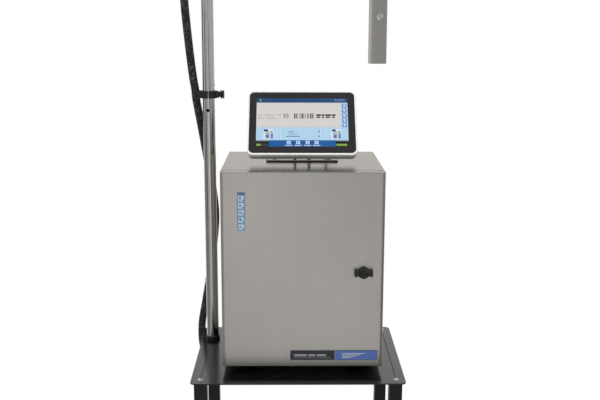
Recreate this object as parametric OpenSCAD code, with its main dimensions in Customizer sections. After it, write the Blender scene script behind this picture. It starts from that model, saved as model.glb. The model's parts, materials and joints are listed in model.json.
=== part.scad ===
// Date code inkjet printer: stainless cabinet on a floor stand, tilting touch display,
// print head carried by an adjustable arm on a mast, umbilical from cabinet to head.
// Millimetres, +Z up, -Y towards the operator, +X to the operator's right,
// origin on the floor under the middle of the stand plate.

/* [Stand] */
// Width of the stand plate
stand_width = 490; // [470:1:520]
// Depth of the stand plate
stand_depth = 380; // [370:1:400]
// Height of the top of the stand plate above the floor
stand_top = 720; // [500:5:820]
// Thickness of the stand plate
plate_t = 3; // [2:0.5:4]
// Side of a square leg tube
leg_side = 30; // [25:1:32]
// Distance from the plate's edge to a leg
leg_inset = 8; // [4:1:12]
// Height of the lower rails above the floor
rail_z = 130; // [90:5:250]

/* [Cabinet] */
// Width of the cabinet
cab_width = 370; // [360:1:380]
// Depth of the cabinet with its door
cab_depth = 320; // [310:1:330]
// Height of the cabinet without its feet
cab_height = 456; // [450:1:480]
// Sideways offset of the cabinet on the plate
cab_x = 10; // [5:1:14]
// Place of the door's front face
cab_front = -133; // [-136:1:-128]
// Height of a rubber foot
foot_gap = 18; // [12:1:24]
// Sheet thickness
sheet = 1.5; // [1.5:0.1:2]
// Outside radius of the door's upright edges
door_r = 9; // [9:0.5:10]

/* [Mast and arm] */
// Diameter of the mast tube
mast_d = 30; // [30:0.5:32]
// Place of the mast across the plate
mast_x = -217; // [-220:1:-212]
// Place of the mast along the plate's depth
mast_y = 102; // [96:1:106]
// Height of the mast's top above the floor
mast_top = 1712; // [1710:1:1760]
// Diameter of the arm tube
arm_d = 25; // [24:0.5:25]
// Height of the arm's axis
arm_z = 1640; // [1636:1:1644]
// Angle of the arm seen from above
arm_angle = 7; // [0:0.5:16]
// Height of the hose clamp on the mast
clamp_z = 1347; // [1335:1:1355]

/* [Print head] */
// Side of the square print head
head_side = 39; // [38:0.5:40]
// Height of the print head's lower face above the floor
head_bottom = 1420; // [1415:1:1428]
// Length of the removable head cover
cover_length = 121; // [115:1:125]
// Distance from the mast to the head along the arm
head_reach = 416; // [400:0.5:425]

/* [Display] */
// Width of the touch display
disp_width = 258; // [250:1:262]
// Height of the touch display along its face
disp_height = 180; // [176:1:183]
// Lean of the display's face from level
disp_lean = 50.3; // [48:0.1:52]
// Depth of the display's housing
disp_depth = 22; // [21:1:23]

/* [Hidden] */
$fn = 64;

run = 0.05;                       // radial running clearance
tube_wall = 2;                    // wall of the mast, arm, leg and rail tubes
bolt_r = 4;                       // plate bolts and the studs of the large knobs
hose_r = 10;                      // umbilical

cab_bottom = stand_top + foot_gap;
cab_top = cab_bottom + cab_height;
cab_mid_z = (cab_bottom + cab_top) / 2;
cab_left = cab_x - cab_width / 2;
cab_right = cab_x + cab_width / 2;
cab_back = cab_front + cab_depth;

mast_r = mast_d / 2;
mast_bore_r = mast_r - tube_wall;
arm_r = arm_d / 2;
arm_back = mast_r + arm_r + 4.5;  // arm axis behind the mast axis
head_back = arm_back - arm_r - 5 - head_side / 2;   // head axis behind the mast axis
head_top = arm_z + 53;
cover_top = head_bottom + cover_length;

gland_x = -118;                   // umbilical gland on the cabinet's back
gland_z = cab_bottom + 34;

// ---------- shapes used more than once ----------

// rectangle with round corners, centred
module round_rect(width, height, radius) {
  square([width - 2 * radius, height], center = true);
  square([width, height - 2 * radius], center = true);
  for (x = [-1, 1], y = [-1, 1])
    translate([x * (width / 2 - radius), y * (height / 2 - radius)]) circle(radius);
}

// box from its lowest corner to the opposite one
module box(from, to) translate(from) cube([to[0] - from[0], to[1] - from[1], to[2] - from[2]]);

// cylinder from a point along +X or +Y
module rod_x(point, radius, length)
  translate(point) rotate([0, 90, 0]) cylinder(r = radius, h = length);
module rod_y(point, radius, length)
  translate(point) rotate([-90, 0, 0]) cylinder(r = radius, h = length);

// scalloped hand knob along +Z: grip, collar and threaded stud below z = 0
module hand_knob(grip_r, grip_h, stud_r, stud_length, neck_r, neck_h, lobes) difference() {
  union() {
    translate([0, 0, neck_h]) cylinder(r = grip_r, h = grip_h);
    cylinder(r = neck_r, h = neck_h);
    translate([0, 0, -stud_length]) cylinder(r = stud_r, h = stud_length + 1);
  }
  for (i = [0:lobes - 1]) rotate([0, 0, (i + 0.5) * 360 / lobes])
    translate([grip_r + 2.2, 0, neck_h - 1]) cylinder(r = 3.4, h = grip_h + 2);
}

// the large knob of the mast, arm and head clamps
module clamp_knob(stud_length)
  hand_knob(grip_r = 16, grip_h = 13, stud_r = bolt_r, stud_length = stud_length,
            neck_r = 9, neck_h = 6, lobes = 6);

// plug in a tube's end along +Z, rim on z = 0
module tube_plug(tube_r, chamfer_h, depth) {
  cylinder(r = tube_r, h = 3);
  translate([0, 0, 2.5]) cylinder(r1 = tube_r, r2 = tube_r - 2, h = chamfer_h);
  translate([0, 0, -depth]) cylinder(r = tube_r - tube_wall - run, h = depth + 1);
}

// ---------- stand ----------

leg_x = stand_width / 2 - leg_inset - leg_side / 2;   // leg centres, either side of the origin
leg_y = stand_depth / 2 - leg_inset - leg_side / 2;
plate_bottom = stand_top - plate_t;
leg_bottom = 20;
leg_height = plate_bottom - leg_bottom;
leg_end_t = 8;                    // solid end of a leg
foot_stud_r = 5;
rail_width = 20;
rail_height = 30;
cross_rail_y = leg_y - 60;

module at_legs() for (x = [-leg_x, leg_x], y = [-leg_y, leg_y]) translate([x, y, 0]) children();

module stand_plate() color([0.2, 0.2, 0.21]) difference() {
  translate([0, 0, plate_bottom]) linear_extrude(plate_t)
    round_rect(stand_width, stand_depth, 12);
  at_legs() plate_hole();
  translate([mast_x, mast_y, 0]) plate_hole();
}

module plate_hole() translate([0, 0, plate_bottom - 1]) cylinder(r = 4.5, h = plate_t + 2);

module leg() difference() {
  translate([0, 0, leg_bottom]) linear_extrude(leg_height) round_rect(leg_side, leg_side, 3);
  translate([0, 0, leg_bottom + leg_end_t]) linear_extrude(leg_height - 2 * leg_end_t)
    square(leg_side - 2 * tube_wall, center = true);
  // threads for the levelling foot and the plate bolt
  translate([0, 0, leg_bottom - 1]) cylinder(r = foot_stud_r + run, h = leg_end_t + 2);
  translate([0, 0, plate_bottom - 10]) cylinder(r = bolt_r + run, h = 11);
}

module stand_legs() color([0.12, 0.12, 0.13]) at_legs() leg();

// open rectangular tube along X, centred
module rail(length) difference() {
  cube([length, rail_width, rail_height], center = true);
  cube([length + 2, rail_width - 2 * tube_wall, rail_height - 2 * tube_wall], center = true);
}

module stand_rails() color([0.12, 0.12, 0.13]) {
  for (x = [-leg_x, leg_x]) translate([x, 0, rail_z]) rotate([0, 0, 90])
    rail(2 * leg_y - leg_side);
  for (y = [-cross_rail_y, cross_rail_y]) translate([0, y, rail_z])
    rail(2 * leg_x - rail_width);
}

// button-head socket bolt along -Z, head above z = 0
module button_bolt() {
  dome_r = 7.77;
  head_h = 4.4;
  difference() {
    union() {
      intersection() {
        translate([0, 0, head_h - dome_r]) sphere(r = dome_r);
        cylinder(r = 9, h = 6);
      }
      translate([0, 0, -14]) cylinder(r = bolt_r, h = 15);
    }
    translate([0, 0, 2]) cylinder(r = 2.9, h = 6, $fn = 6);
  }
}

// the mast's bolt enters from under the plate
module plate_bolts() color([0.8, 0.8, 0.8]) {
  at_legs() translate([0, 0, stand_top]) button_bolt();
  translate([mast_x, mast_y, plate_bottom]) rotate([180, 0, 0]) button_bolt();
}

// pad, ball neck, adjusting hexagon and stud of a screw-in foot
module foot_at(x, y) color([0.1, 0.1, 0.1]) translate([x, y, 0]) {
  cylinder(r = 20, h = 5);
  translate([0, 0, 5]) cylinder(r1 = 20, r2 = 9, h = 5);
  translate([0, 0, 9]) cylinder(r = 7, h = 4);
  translate([0, 0, 12]) cylinder(r = 9, h = 6, $fn = 6);
  translate([0, 0, 17]) cylinder(r = foot_stud_r, h = 50);
}
module levelling_foot_fl() foot_at(-leg_x, -leg_y);
module levelling_foot_fr() foot_at(leg_x, -leg_y);
module levelling_foot_bl() foot_at(-leg_x, leg_y);
module levelling_foot_br() foot_at(leg_x, leg_y);

// ---------- mast, hose clamp ----------

mast_seat = 3;                    // tube's lower end above the plate
hose_x = mast_x - 31;             // hose axis at the clamp
hose_y = mast_y + 4;
hose_clamp_half_h = 9;
hose_knob_stud_r = 3;

// collar round the tube's foot with a plug inside the tube
module mast_socket() color([0.08, 0.08, 0.08]) translate([mast_x, mast_y, stand_top])
  difference() {
    union() {
      cylinder(r = mast_r + 2.5, h = 9);
      translate([0, 0, 8]) cylinder(r1 = mast_r + 2.5, r2 = mast_r + 1.2, h = 2.5);
      cylinder(r = mast_bore_r - run, h = 45);
    }
    // ring-shaped seat for the tube
    difference() {
      translate([0, 0, mast_seat]) cylinder(r = mast_r + run, h = 50);
      translate([0, 0, 2]) cylinder(r = mast_bore_r - run, h = 43);
    }
    translate([0, 0, -1]) cylinder(r = bolt_r + run, h = 30);
  }

module mast_tube() color([0.78, 0.77, 0.75]) difference() {
  translate([mast_x, mast_y, stand_top + mast_seat])
    cylinder(r = mast_r, h = mast_top - stand_top - mast_seat);
  translate([mast_x, mast_y, stand_top + 2]) cylinder(r = mast_bore_r, h = mast_top - stand_top);
  // front hole below the hose clamp, right-hand hole above it
  translate([mast_x, mast_y, clamp_z - 38]) rotate([0, 0, -5]) rotate([90, 0, 0])
    cylinder(r = 4, h = mast_r + 4);
  translate([mast_x, mast_y, clamp_z + 23]) rotate([0, 0, -8]) rotate([0, 90, 0])
    cylinder(r = 3, h = mast_r + 4);
}

module mast_cap() color([0.08, 0.08, 0.08]) translate([mast_x, mast_y, mast_top])
  tube_plug(tube_r = mast_r, chamfer_h = 2, depth = 16);

module hose_clamp() color([0.07, 0.07, 0.07]) {
  bottom = clamp_z - hose_clamp_half_h;
  top = clamp_z + hose_clamp_half_h;
  height = 2 * hose_clamp_half_h;
  difference() {
    union() {
      translate([mast_x, mast_y, bottom]) cylinder(r = mast_r + 5, h = height);
      // knob boss on the right
      box([mast_x + mast_r - 2, mast_y - 9, clamp_z - 8],
          [mast_x + mast_r + 10, mast_y + 9, clamp_z + 8]);
      // hose holder on the left, and its lip behind the hose
      box([hose_x + 4, mast_y - 8, bottom], [mast_x - mast_r + 1, mast_y + 17, top]);
      box([hose_x - 6, hose_y + 8, bottom], [hose_x + 8, hose_y + 13, top]);
    }
    translate([mast_x, mast_y, bottom - 1]) cylinder(r = mast_r + run, h = height + 2);
    translate([hose_x, hose_y, bottom - 1]) cylinder(r = hose_r + 2, h = height + 2);
    rod_x([mast_x, mast_y, clamp_z], hose_knob_stud_r + run, 40);
    // clamping slit at the front
    box([mast_x - 1, mast_y - mast_r - 8, bottom - 1],
        [mast_x + 1, mast_y - mast_r + 2, top + 1]);
  }
}

module hose_clamp_knob() color([0.07, 0.07, 0.07])
  translate([mast_x + mast_r + 10.2, mast_y, clamp_z]) rotate([0, 90, 0])
    hand_knob(grip_r = 11, grip_h = 9, stud_r = hose_knob_stud_r, stud_length = 9,
              neck_r = 6.5, neck_h = 3.5, lobes = 8);

// ---------- arm ----------

arm_left = 100;                   // arm tube left of the mast axis
arm_right = head_reach + 60;      // arm tube right of the mast axis
knob_gap = 0.2;                   // between a clamp and its knob
cross_width = 50;                 // clamp joining mast and arm
cross_depth = arm_back + 41;
cross_height = 43.6;
cross_mid_y = arm_back / 2 - 0.5;

// arm's frame: x along the arm, y behind it, z up, origin on the mast axis at floor level
module in_arm_frame() translate([mast_x, mast_y, 0]) rotate([0, 0, arm_angle]) children();

module stop_collar() color([0.3, 0.3, 0.3]) in_arm_frame() {
  bottom = arm_z - 38;
  top = bottom + 16;
  screw_y = -mast_r - 10.5;
  difference() {
    union() {
      translate([0, 0, bottom]) cylinder(r = mast_r + 9, h = 16);
      box([-8, -mast_r - 15, bottom], [8, -mast_r - 4, top]);
      translate([7, screw_y, bottom + 8]) rotate([0, 90, 0]) cylinder(r = 3.8, h = 4);
    }
    translate([0, 0, bottom - 2]) cylinder(r = mast_r + run, h = 20);
    // slit in front of and behind the screw, which bridges it
    box([-1, -mast_r - 17, bottom - 2], [1, screw_y - 2, top + 2]);
    box([-1, screw_y + 2, bottom - 2], [1, -mast_r + 2, top + 2]);
    translate([8.5, screw_y, bottom + 8]) rotate([0, 90, 0]) cylinder(r = 2, h = 5, $fn = 6);
  }
}

module cross_clamp() color([0.1, 0.1, 0.1]) in_arm_frame() difference() {
  translate([0, cross_mid_y, arm_z - cross_height / 2]) linear_extrude(cross_height)
    round_rect(cross_width, cross_depth, 8);
  translate([0, 0, arm_z - 30]) cylinder(r = mast_r + run, h = 60);
  rod_x([-30, arm_back, arm_z], arm_r + run, 60);
  // clamping slits: left of the mast, behind the arm
  box([-30, -1, arm_z - 30], [-mast_r + 1, 1, arm_z + 30]);
  box([-30, arm_back + arm_r - 2, arm_z - 1], [30, arm_back + 40, arm_z + 1]);
  // screw holes for the two hand knobs
  translate([0, -mast_r, arm_z]) rotate([90, 0, 0]) cylinder(r = bolt_r + run, h = 30);
  translate([0, arm_back, arm_z + 8]) cylinder(r = bolt_r + run, h = 30);
}

module mast_clamp_knob() color([0.07, 0.07, 0.07]) in_arm_frame()
  translate([0, cross_mid_y - cross_depth / 2 - knob_gap, arm_z]) rotate([90, 0, 0])
    clamp_knob(5.5);

module arm_clamp_knob() color([0.07, 0.07, 0.07]) in_arm_frame()
  translate([0, arm_back, arm_z + cross_height / 2 + knob_gap]) clamp_knob(8.5);

module arm_tube() color([0.78, 0.77, 0.75]) in_arm_frame() difference() {
  rod_x([-arm_left, arm_back, arm_z], arm_r, arm_right + arm_left);
  rod_x([-arm_left - 1, arm_back, arm_z], arm_r - tube_wall, arm_right + arm_left + 2);
}

module arm_plugs() color([0.08, 0.08, 0.08]) in_arm_frame() {
  translate([arm_right, arm_back, arm_z]) rotate([0, 90, 0]) tube_plug(arm_r, 1.5, 12);
  translate([-arm_left, arm_back, arm_z]) rotate([0, -90, 0]) tube_plug(arm_r, 1.5, 12);
}

// ---------- print head ----------

head_clamp_depth = arm_back - head_back + 46;
head_clamp_mid_y = (head_back + arm_back) / 2 - 3;
screw_z = cover_top - 8;
cover_screw_r = 3;
jet_y = 2;                        // jet axis behind the head's axis

// head's frame: the arm's frame moved to the head's axis
module in_head_frame() in_arm_frame() translate([head_reach, head_back, 0]) children();

module head_clamp() color([0.55, 0.55, 0.56]) in_arm_frame() difference() {
  translate([head_reach, head_clamp_mid_y, arm_z - 20]) linear_extrude(40)
    round_rect(56, head_clamp_depth, 7);
  translate([head_reach, head_back, arm_z - 30]) linear_extrude(60)
    square(head_side + 0.2, center = true);
  rod_x([head_reach - 40, arm_back, arm_z], arm_r + run, 80);
  rod_y([head_reach, arm_back, arm_z], bolt_r + run, 60);
  // clamping slit on the head's left side
  box([head_reach - 40, head_back - 1, arm_z - 30],
      [head_reach - head_side / 2 + 1, head_back + 1, arm_z + 30]);
}

module head_clamp_knob() color([0.07, 0.07, 0.07]) in_arm_frame()
  translate([head_reach, head_clamp_mid_y + head_clamp_depth / 2 + knob_gap, arm_z])
    rotate([-90, 0, 0]) clamp_knob(7);

module head_body() color([0.62, 0.62, 0.61]) in_head_frame() difference() {
  union() {
    translate([0, 0, cover_top + 0.5]) linear_extrude(head_top - cover_top - 0.5)
      round_rect(head_side, head_side, 3.5);
    // step that carries the cover
    translate([0, 0, cover_top - 16]) linear_extrude(17)
      round_rect(head_side - 3.4, head_side - 3.4, 2);
    // chassis strip
    box([-14, 12, head_bottom + 14], [14, 15, cover_top]);
  }
  translate([0, 0, cover_top + 6]) linear_extrude(head_top - cover_top - 8)
    square(head_side - 5, center = true);
  // duct for the hoses and wires
  translate([0, 3, cover_top - 30]) cylinder(r = 7, h = 60);
  translate([0, 0, head_top - 10]) cylinder(r = 8, h = 20);
  // thread for the cover screw
  translate([0, 0, screw_z]) rotate([90, 0, 0]) cylinder(r = cover_screw_r + run, h = 30);
}

module head_cover() color([0.62, 0.62, 0.61]) in_head_frame() {
  notch_r = 3.6;
  front = -head_side / 2;
  difference() {
    translate([0, 0, head_bottom]) linear_extrude(cover_length)
      round_rect(head_side, head_side, 3.5);
    translate([0, 0, head_bottom + 2]) linear_extrude(cover_length)
      round_rect(head_side - 3, head_side - 3, 2);
    // opening for the jet
    translate([0, jet_y, head_bottom - 1]) linear_extrude(5) round_rect(4, 22, 1.9);
    // notch that clears the screw
    translate([0, front + 5, screw_z]) rotate([90, 0, 0]) cylinder(r = notch_r, h = 10);
    box([-notch_r, front - 5, screw_z], [notch_r, front + 5, cover_top + 1]);
  }
}

// knurled thumbscrew
module cover_screw() color([0.7, 0.7, 0.7]) in_head_frame()
  translate([0, -head_side / 2 - 0.2, screw_z]) rotate([90, 0, 0]) difference() {
    union() {
      cylinder(r = 9, h = 4.5);
      translate([0, 0, 4]) cylinder(r1 = 9, r2 = 7, h = 1.6);
      translate([0, 0, -11]) cylinder(r = cover_screw_r, h = 12);
    }
    for (i = [0:23]) rotate([0, 0, 15 * i]) translate([9.4, 0, -0.5]) cylinder(r = 0.8, h = 8);
  }

module head_gland() color([0.75, 0.75, 0.74]) in_head_frame() translate([0, 0, head_top])
  difference() {
    union() {
      cylinder(r = 16, h = 7, $fn = 6);
      translate([0, 0, 6]) cylinder(r = 13.5, h = 12);
      translate([0, 0, 17.5]) cylinder(r1 = 13.5, r2 = 12, h = 3);
      translate([0, 0, -6]) cylinder(r = 7.9, h = 7);
    }
    translate([0, 0, 4]) cylinder(r = hose_r + 1, h = 20);
    translate([0, 0, -7]) cylinder(r = 6, h = 20);
  }

module nozzle_block() color([0.75, 0.74, 0.72]) in_head_frame() difference() {
  union() {
    box([-9, -8, cover_top - 56], [9, 12, cover_top - 20]);
    translate([0, jet_y, cover_top - 62]) cylinder(r = 4, h = 7);
    translate([0, jet_y, cover_top - 66]) cylinder(r1 = 1.5, r2 = 4, h = 4);
  }
  translate([0, jet_y, cover_top - 70]) cylinder(r = 0.6, h = 30);
}

// block with a slot open to the front
module charge_electrode() color([0.15, 0.15, 0.15]) in_head_frame() difference() {
  box([-7, -4, cover_top - 80], [7, 12, cover_top - 68]);
  box([-1.5, -5, cover_top - 81], [1.5, 7, cover_top - 67]);
}

module deflector_plates() color([0.8, 0.8, 0.8]) in_head_frame() for (x = [-4, 4])
  translate([x, 0, 0]) box([-1, -6, cover_top - 104], [1, 12, cover_top - 83]);

// block with a catching bore that turns to the back
module ink_gutter() color([0.7, 0.7, 0.68]) in_head_frame() difference() {
  union() {
    box([-3, -3, head_bottom + 5], [3, 12, head_bottom + 14]);
    box([-3, 6, head_bottom + 13.5], [3, 12, head_bottom + 16]);
  }
  translate([0, jet_y, head_bottom + 8]) cylinder(r = 1.5, h = 10);
  rod_y([0, jet_y, head_bottom + 8], 1.2, 8);
}

// ---------- umbilical ----------

hose_sides = 20;                  // corners of the hose's section
hose_steps = 4;                   // path steps between two stations

// Catmull-Rom curve between b and c, t from 0 to 1
function spline(a, b, c, d, t) = 0.5 * ((2 * b) + (c - a) * t
  + (2 * a - 5 * b + 4 * c - d) * t * t + (3 * b - a - 3 * c + d) * t * t * t);

// smooth path through stations p
function smooth_path(p, steps) = concat(
  [for (i = [0:len(p) - 2], k = [0:steps - 1])
    spline(p[max(i - 1, 0)], p[i], p[i + 1], p[min(i + 2, len(p) - 1)], k / steps)],
  [p[len(p) - 1]]);

function unit(v) = v / norm(v);

// unit vector square to a direction, from Y unless the direction is nearly along Y
function side_of(dir) = unit(cross(dir, abs(dir[1]) > 0.95 ? [1, 0, 0] : [0, 1, 0]));

// ring of points round station i of a path
function ring(path, i) =
  let (dir = unit(path[min(i + 1, len(path) - 1)] - path[max(i - 1, 0)]),
       side = side_of(dir),
       up = cross(side, dir))
  [for (k = [0:hose_sides - 1]) let (angle = 360 * k / hose_sides)
    path[i] + hose_r * (cos(angle) * side + sin(angle) * up)];

// round hose through stations
module hose(stations) {
  path = smooth_path(stations, hose_steps);
  last = len(path) - 1;
  m = hose_sides;
  points = [for (i = [0:last]) each ring(path, i)];
  quads = [for (i = [0:last - 1], k = [0:m - 1])
    [i * m + k, i * m + (k + 1) % m, (i + 1) * m + (k + 1) % m, (i + 1) * m + k]];
  triangles = concat([for (q = quads) [q[0], q[1], q[2]]], [for (q = quads) [q[0], q[2], q[3]]]);
  start_cap = [for (k = [m - 1:-1:0]) k];
  end_cap = [for (k = [0:m - 1]) last * m + k];
  polyhedron(points = points, faces = concat(triangles, [start_cap, end_cap]), convexity = 6);
}

function moved(origin, offsets) = [for (offset_xyz = offsets) origin + offset_xyz];

// point above the head's line, from its distance along the arm and height above the head
function over_arm(along, rise) = [
  mast_x + along * cos(arm_angle) - head_back * sin(arm_angle),
  mast_y + along * sin(arm_angle) + head_back * cos(arm_angle),
  head_top + rise];

// stations [x, y, z] out of the back and round to the mast, from the gland
from_gland = [
  [0, 8, 0], [0, 34, -5], [-6, 68, -36], [-28, 86, -110],
  [-66, 84, -168], [-108, 66, -178], [-136, 46, -128],
  [-139, 32, -58], [-127, 22, 14], [-114, 6, 84], [-106, -14, 146]
];
// stations [x, y, z] up the mast, x and y from its axis, z from the gland
along_mast = [
  [3, 40, 200], [8.5, 34, 270], [2, 31, 345], [-10, 28, 420], [-22, 18, 500]
];
// stations [x, y, z] from the hose's axis in the clamp: through the clamp, then above it
in_clamp = [[0, 0, -12], [-2, -1, 12], [-8, -2, 53]];
above_clamp = [[-8.2, -2, 54.5], [-17, -2, 140], [-23.5, -6, 226], [-26, -15, 310]];
// stations [x, y, z] of the bend, x and y from the hose's axis in the clamp, z from head_top
top_bend = [[-14, -27, 52], [33, -33, 86]];
// stations [distance along the arm, height above the head]
arm_run = [
  [100, 98], [210, 102], [310, 98],
  [head_reach - 48, 84], [head_reach - 10, 54], [head_reach, 24], [head_reach, 6]
];

module umbilical_lower() color([0.08, 0.08, 0.09]) hose(concat(
  moved([gland_x, cab_back, gland_z], from_gland),
  moved([mast_x, mast_y, gland_z], along_mast),
  moved([hose_x, hose_y, clamp_z], in_clamp)));

module umbilical_upper() color([0.08, 0.08, 0.09]) hose(concat(
  moved([hose_x, hose_y, clamp_z], above_clamp),
  moved([hose_x, hose_y, head_top], top_bend),
  [for (station = arm_run) over_arm(station[0], station[1])]));

module umbilical_gland() color([0.3, 0.3, 0.31])
  translate([gland_x, cab_back, gland_z]) rotate([-90, 0, 0]) difference() {
    union() {
      cylinder(r = 16, h = 7, $fn = 6);
      translate([0, 0, 6]) cylinder(r = 13.5, h = 14);
      translate([0, 0, -10]) cylinder(r = 11.9, h = 11);
      translate([0, 0, -8]) cylinder(r = 16, h = 6, $fn = 6);
    }
    translate([0, 0, 3]) cylinder(r = hose_r + 1.4, h = 20);
    translate([0, 0, -11]) cylinder(r = 8, h = 20);
  }

// ---------- cabinet ----------

door_t = 25;                      // depth of the door pan
door_back = cab_front + door_t;
shell_front = door_back + 3;
door_edge_r = 2.5;                // door's upper and lower front edges
hinge_x = cab_left + door_r;      // door hinge axis
hinge_y = cab_front + door_r;
hinge_zs = [cab_bottom + 60, cab_top - 102];
hinge_h = 20;                     // height of a hinge knuckle
knuckle_gap = 0.2;
knuckle_r = 5.5;
hinge_pin_r = 3;
latch_x = cab_right - 47;
latch_z = cab_bottom + 226;
latch_shaft_r = 6;

fan_x = 120;
fan_z = cab_bottom + 340;
inlet_x = 40;                     // mains socket's middle on the back
inlet_z = cab_bottom + 60;
inlet_left = inlet_x - 14;        // housing of socket and switch
inlet_right = inlet_x + 61;
inlet_half_h = 13;

module at_cabinet_feet()
  for (x = [cab_left + 45, cab_right - 45], y = [cab_front + 62, cab_back - 42])
    translate([x, y, 0]) children();

module cabinet_shell() color([0.62, 0.61, 0.59]) difference() {
  // folded wrap: outer block less its inside
  translate([cab_x, cab_back - sheet, cab_mid_z]) rotate([90, 0, 0])
    linear_extrude(cab_back - sheet - shell_front) round_rect(cab_width, cab_height, 2.5);
  box([cab_left + sheet, shell_front + sheet, cab_bottom + sheet],
      [cab_right - sheet, cab_back - 2 * sheet, cab_top - sheet]);
  // front and back openings inside their flanges
  box([cab_left + 45, shell_front - 1, cab_bottom + 28],
      [cab_right - 28, shell_front + 5, cab_top - 28]);
  box([cab_left + 15, cab_back - 6, cab_bottom + 15],
      [cab_right - 15, cab_back + 1, cab_top - 15]);
  // foot screws
  at_cabinet_feet() translate([0, 0, cab_bottom - 1]) cylinder(r = 3.5, h = 4);
}

module panel_screw(x, z) rod_y([x, cab_back - 0.5, z], 3.6, 2.2);

// round fan opening less its guard of rings and spokes
module fan_opening() difference() {
  rod_y([fan_x, cab_back - 5, fan_z], 37, 10);
  for (radius = [8, 17.5, 27]) difference() {
    rod_y([fan_x, cab_back - 6, fan_z], radius + 1, 12);
    rod_y([fan_x, cab_back - 7, fan_z], radius - 1, 14);
  }
  for (angle = [45, 135]) translate([fan_x, cab_back, fan_z]) rotate([0, angle, 0])
    cube([2.4, 12, 80], center = true);
}

module back_panel() color([0.62, 0.61, 0.59]) {
  cut_y0 = cab_back - 5;
  cut_y1 = cab_back + 5;
  inlet_gap = 0.2;
  difference() {
    union() {
      translate([cab_x, cab_back, cab_mid_z]) rotate([90, 0, 0]) linear_extrude(sheet)
        round_rect(cab_width - 2, cab_height - 2, 2);
      // pan-head screws round the edge
      for (x = [cab_left + 7, cab_x, cab_right - 7], z = [cab_bottom + 7, cab_top - 7])
        panel_screw(x, z);
      for (x = [cab_left + 7, cab_right - 7]) panel_screw(x, cab_mid_z);
    }
    fan_opening();
    rod_y([gland_x, cut_y0, gland_z], 12, 10);
    box([inlet_left - inlet_gap, cut_y0, inlet_z - inlet_half_h - inlet_gap],
        [inlet_right + inlet_gap, cut_y1, inlet_z + inlet_half_h + inlet_gap]);
    // low vents
    for (i = [0:9]) translate([fan_x - 40 + 9 * i, 0, cab_bottom])
      box([0, cut_y0, 110], [3.5, cut_y1, 150]);
  }
}

module cabinet_feet() color([0.06, 0.06, 0.06])
  at_cabinet_feet() translate([0, 0, stand_top]) {
    cylinder(r1 = 13, r2 = 15, h = foot_gap);
    translate([0, 0, foot_gap - 0.5]) cylinder(r = 3.4, h = 1.9);
  }

// outline of the door pan seen from above, shrunk by inset
module door_plan(inset) {
  translate([cab_left + door_r, cab_front + inset])
    square([cab_width - 2 * door_r, door_t - 2 * inset]);
  translate([cab_left + inset, cab_front + door_r])
    square([cab_width - 2 * inset, door_t - door_r - inset]);
  for (x = [cab_left + door_r, cab_right - door_r])
    translate([x, cab_front + door_r]) circle(door_r - inset);
}

// outline of the door pan seen from the side (x stands for Y, y for Z)
module door_profile(inset) {
  translate([cab_front + door_edge_r, cab_bottom + inset])
    square([door_t - door_edge_r - inset, cab_height - 2 * inset]);
  translate([cab_front + inset, cab_bottom + door_edge_r])
    square([door_t - 2 * inset, cab_height - 2 * door_edge_r]);
  for (z = [cab_bottom + door_edge_r, cab_top - door_edge_r])
    translate([cab_front + door_edge_r, z]) circle(door_edge_r - inset);
}

module door_block(inset) intersection() {
  translate([0, 0, cab_bottom - 1]) linear_extrude(cab_height + 2) door_plan(inset);
  translate([cab_left - 1, 0, 0]) rotate([90, 0, 90]) linear_extrude(cab_width + 2)
    door_profile(inset);
}

// hollow pan with an opening in its back
module door_pan() difference() {
  door_block(0);
  door_block(sheet);
  box([cab_left + 45, door_back - 3, cab_bottom + 26],
      [cab_right - 26, door_back + 1, cab_top - 26]);
  // room for the hinge arms
  for (z = hinge_zs)
    box([cab_left + sheet, door_back - 3, z - 3], [cab_left + 46, door_back + 1, z + 45]);
}

module door_panel() color([0.62, 0.61, 0.59]) difference() {
  union() {
    door_pan();
    // latch bush
    rod_y([latch_x, cab_front + 0.5, latch_z], 10, 21);
    // door's knuckles, above the hinges' own
    for (z = hinge_zs) translate([hinge_x, 0, z + hinge_h + knuckle_gap]) {
      translate([0, hinge_y, 0]) cylinder(r = knuckle_r, h = hinge_h);
      box([-1, cab_front + 1, 0], [14, hinge_y - 3.2, hinge_h]);
    }
  }
  rod_y([latch_x, cab_front - 1, latch_z], latch_shaft_r + run, 30);
  for (z = hinge_zs) translate([hinge_x, hinge_y, z + 15])
    cylinder(r = hinge_pin_r + run, h = 30);
}

module door_gasket() color([0.07, 0.07, 0.07]) {
  left = hinge_x + 28;
  edge = 18;                      // gasket inside the other three sides
  width = 7;
  difference() {
    box([left, door_back + 0.01, cab_bottom + edge],
        [cab_right - edge, shell_front - 0.3, cab_top - edge]);
    box([left + width, door_back - 1, cab_bottom + edge + width],
        [cab_right - edge - width, shell_front + 1, cab_top - edge - width]);
  }
}

// lower knuckle, pin and bent arm back to the shell
module door_hinges() color([0.7, 0.7, 0.69]) for (z = hinge_zs) {
  translate([hinge_x, hinge_y, z]) cylinder(r = knuckle_r, h = hinge_h);
  translate([hinge_x, hinge_y, z]) cylinder(r = hinge_pin_r, h = 38);
  box([hinge_x, hinge_y, z], [hinge_x + 24, hinge_y + 3, z + hinge_h]);
  box([hinge_x + 21, hinge_y, z], [hinge_x + 24, shell_front, z + hinge_h]);
}

// flange, boss and crossbar outside, shaft and its square end inside
module latch_knob() color([0.05, 0.05, 0.05]) translate([latch_x, cab_front, latch_z]) {
  rotate([90, 0, 0]) translate([0, 0, 0.3]) cylinder(r = 14, h = 4);
  rotate([90, 0, 0]) translate([0, 0, 4]) cylinder(r = 12, h = 12);
  translate([-21, -15, -8.5]) cube([42, 12, 17]);
  rod_y([0, -1, 0], latch_shaft_r, 28);
  translate([-3.5, 26, -3.5]) cube([7, 6, 7]);
}

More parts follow.
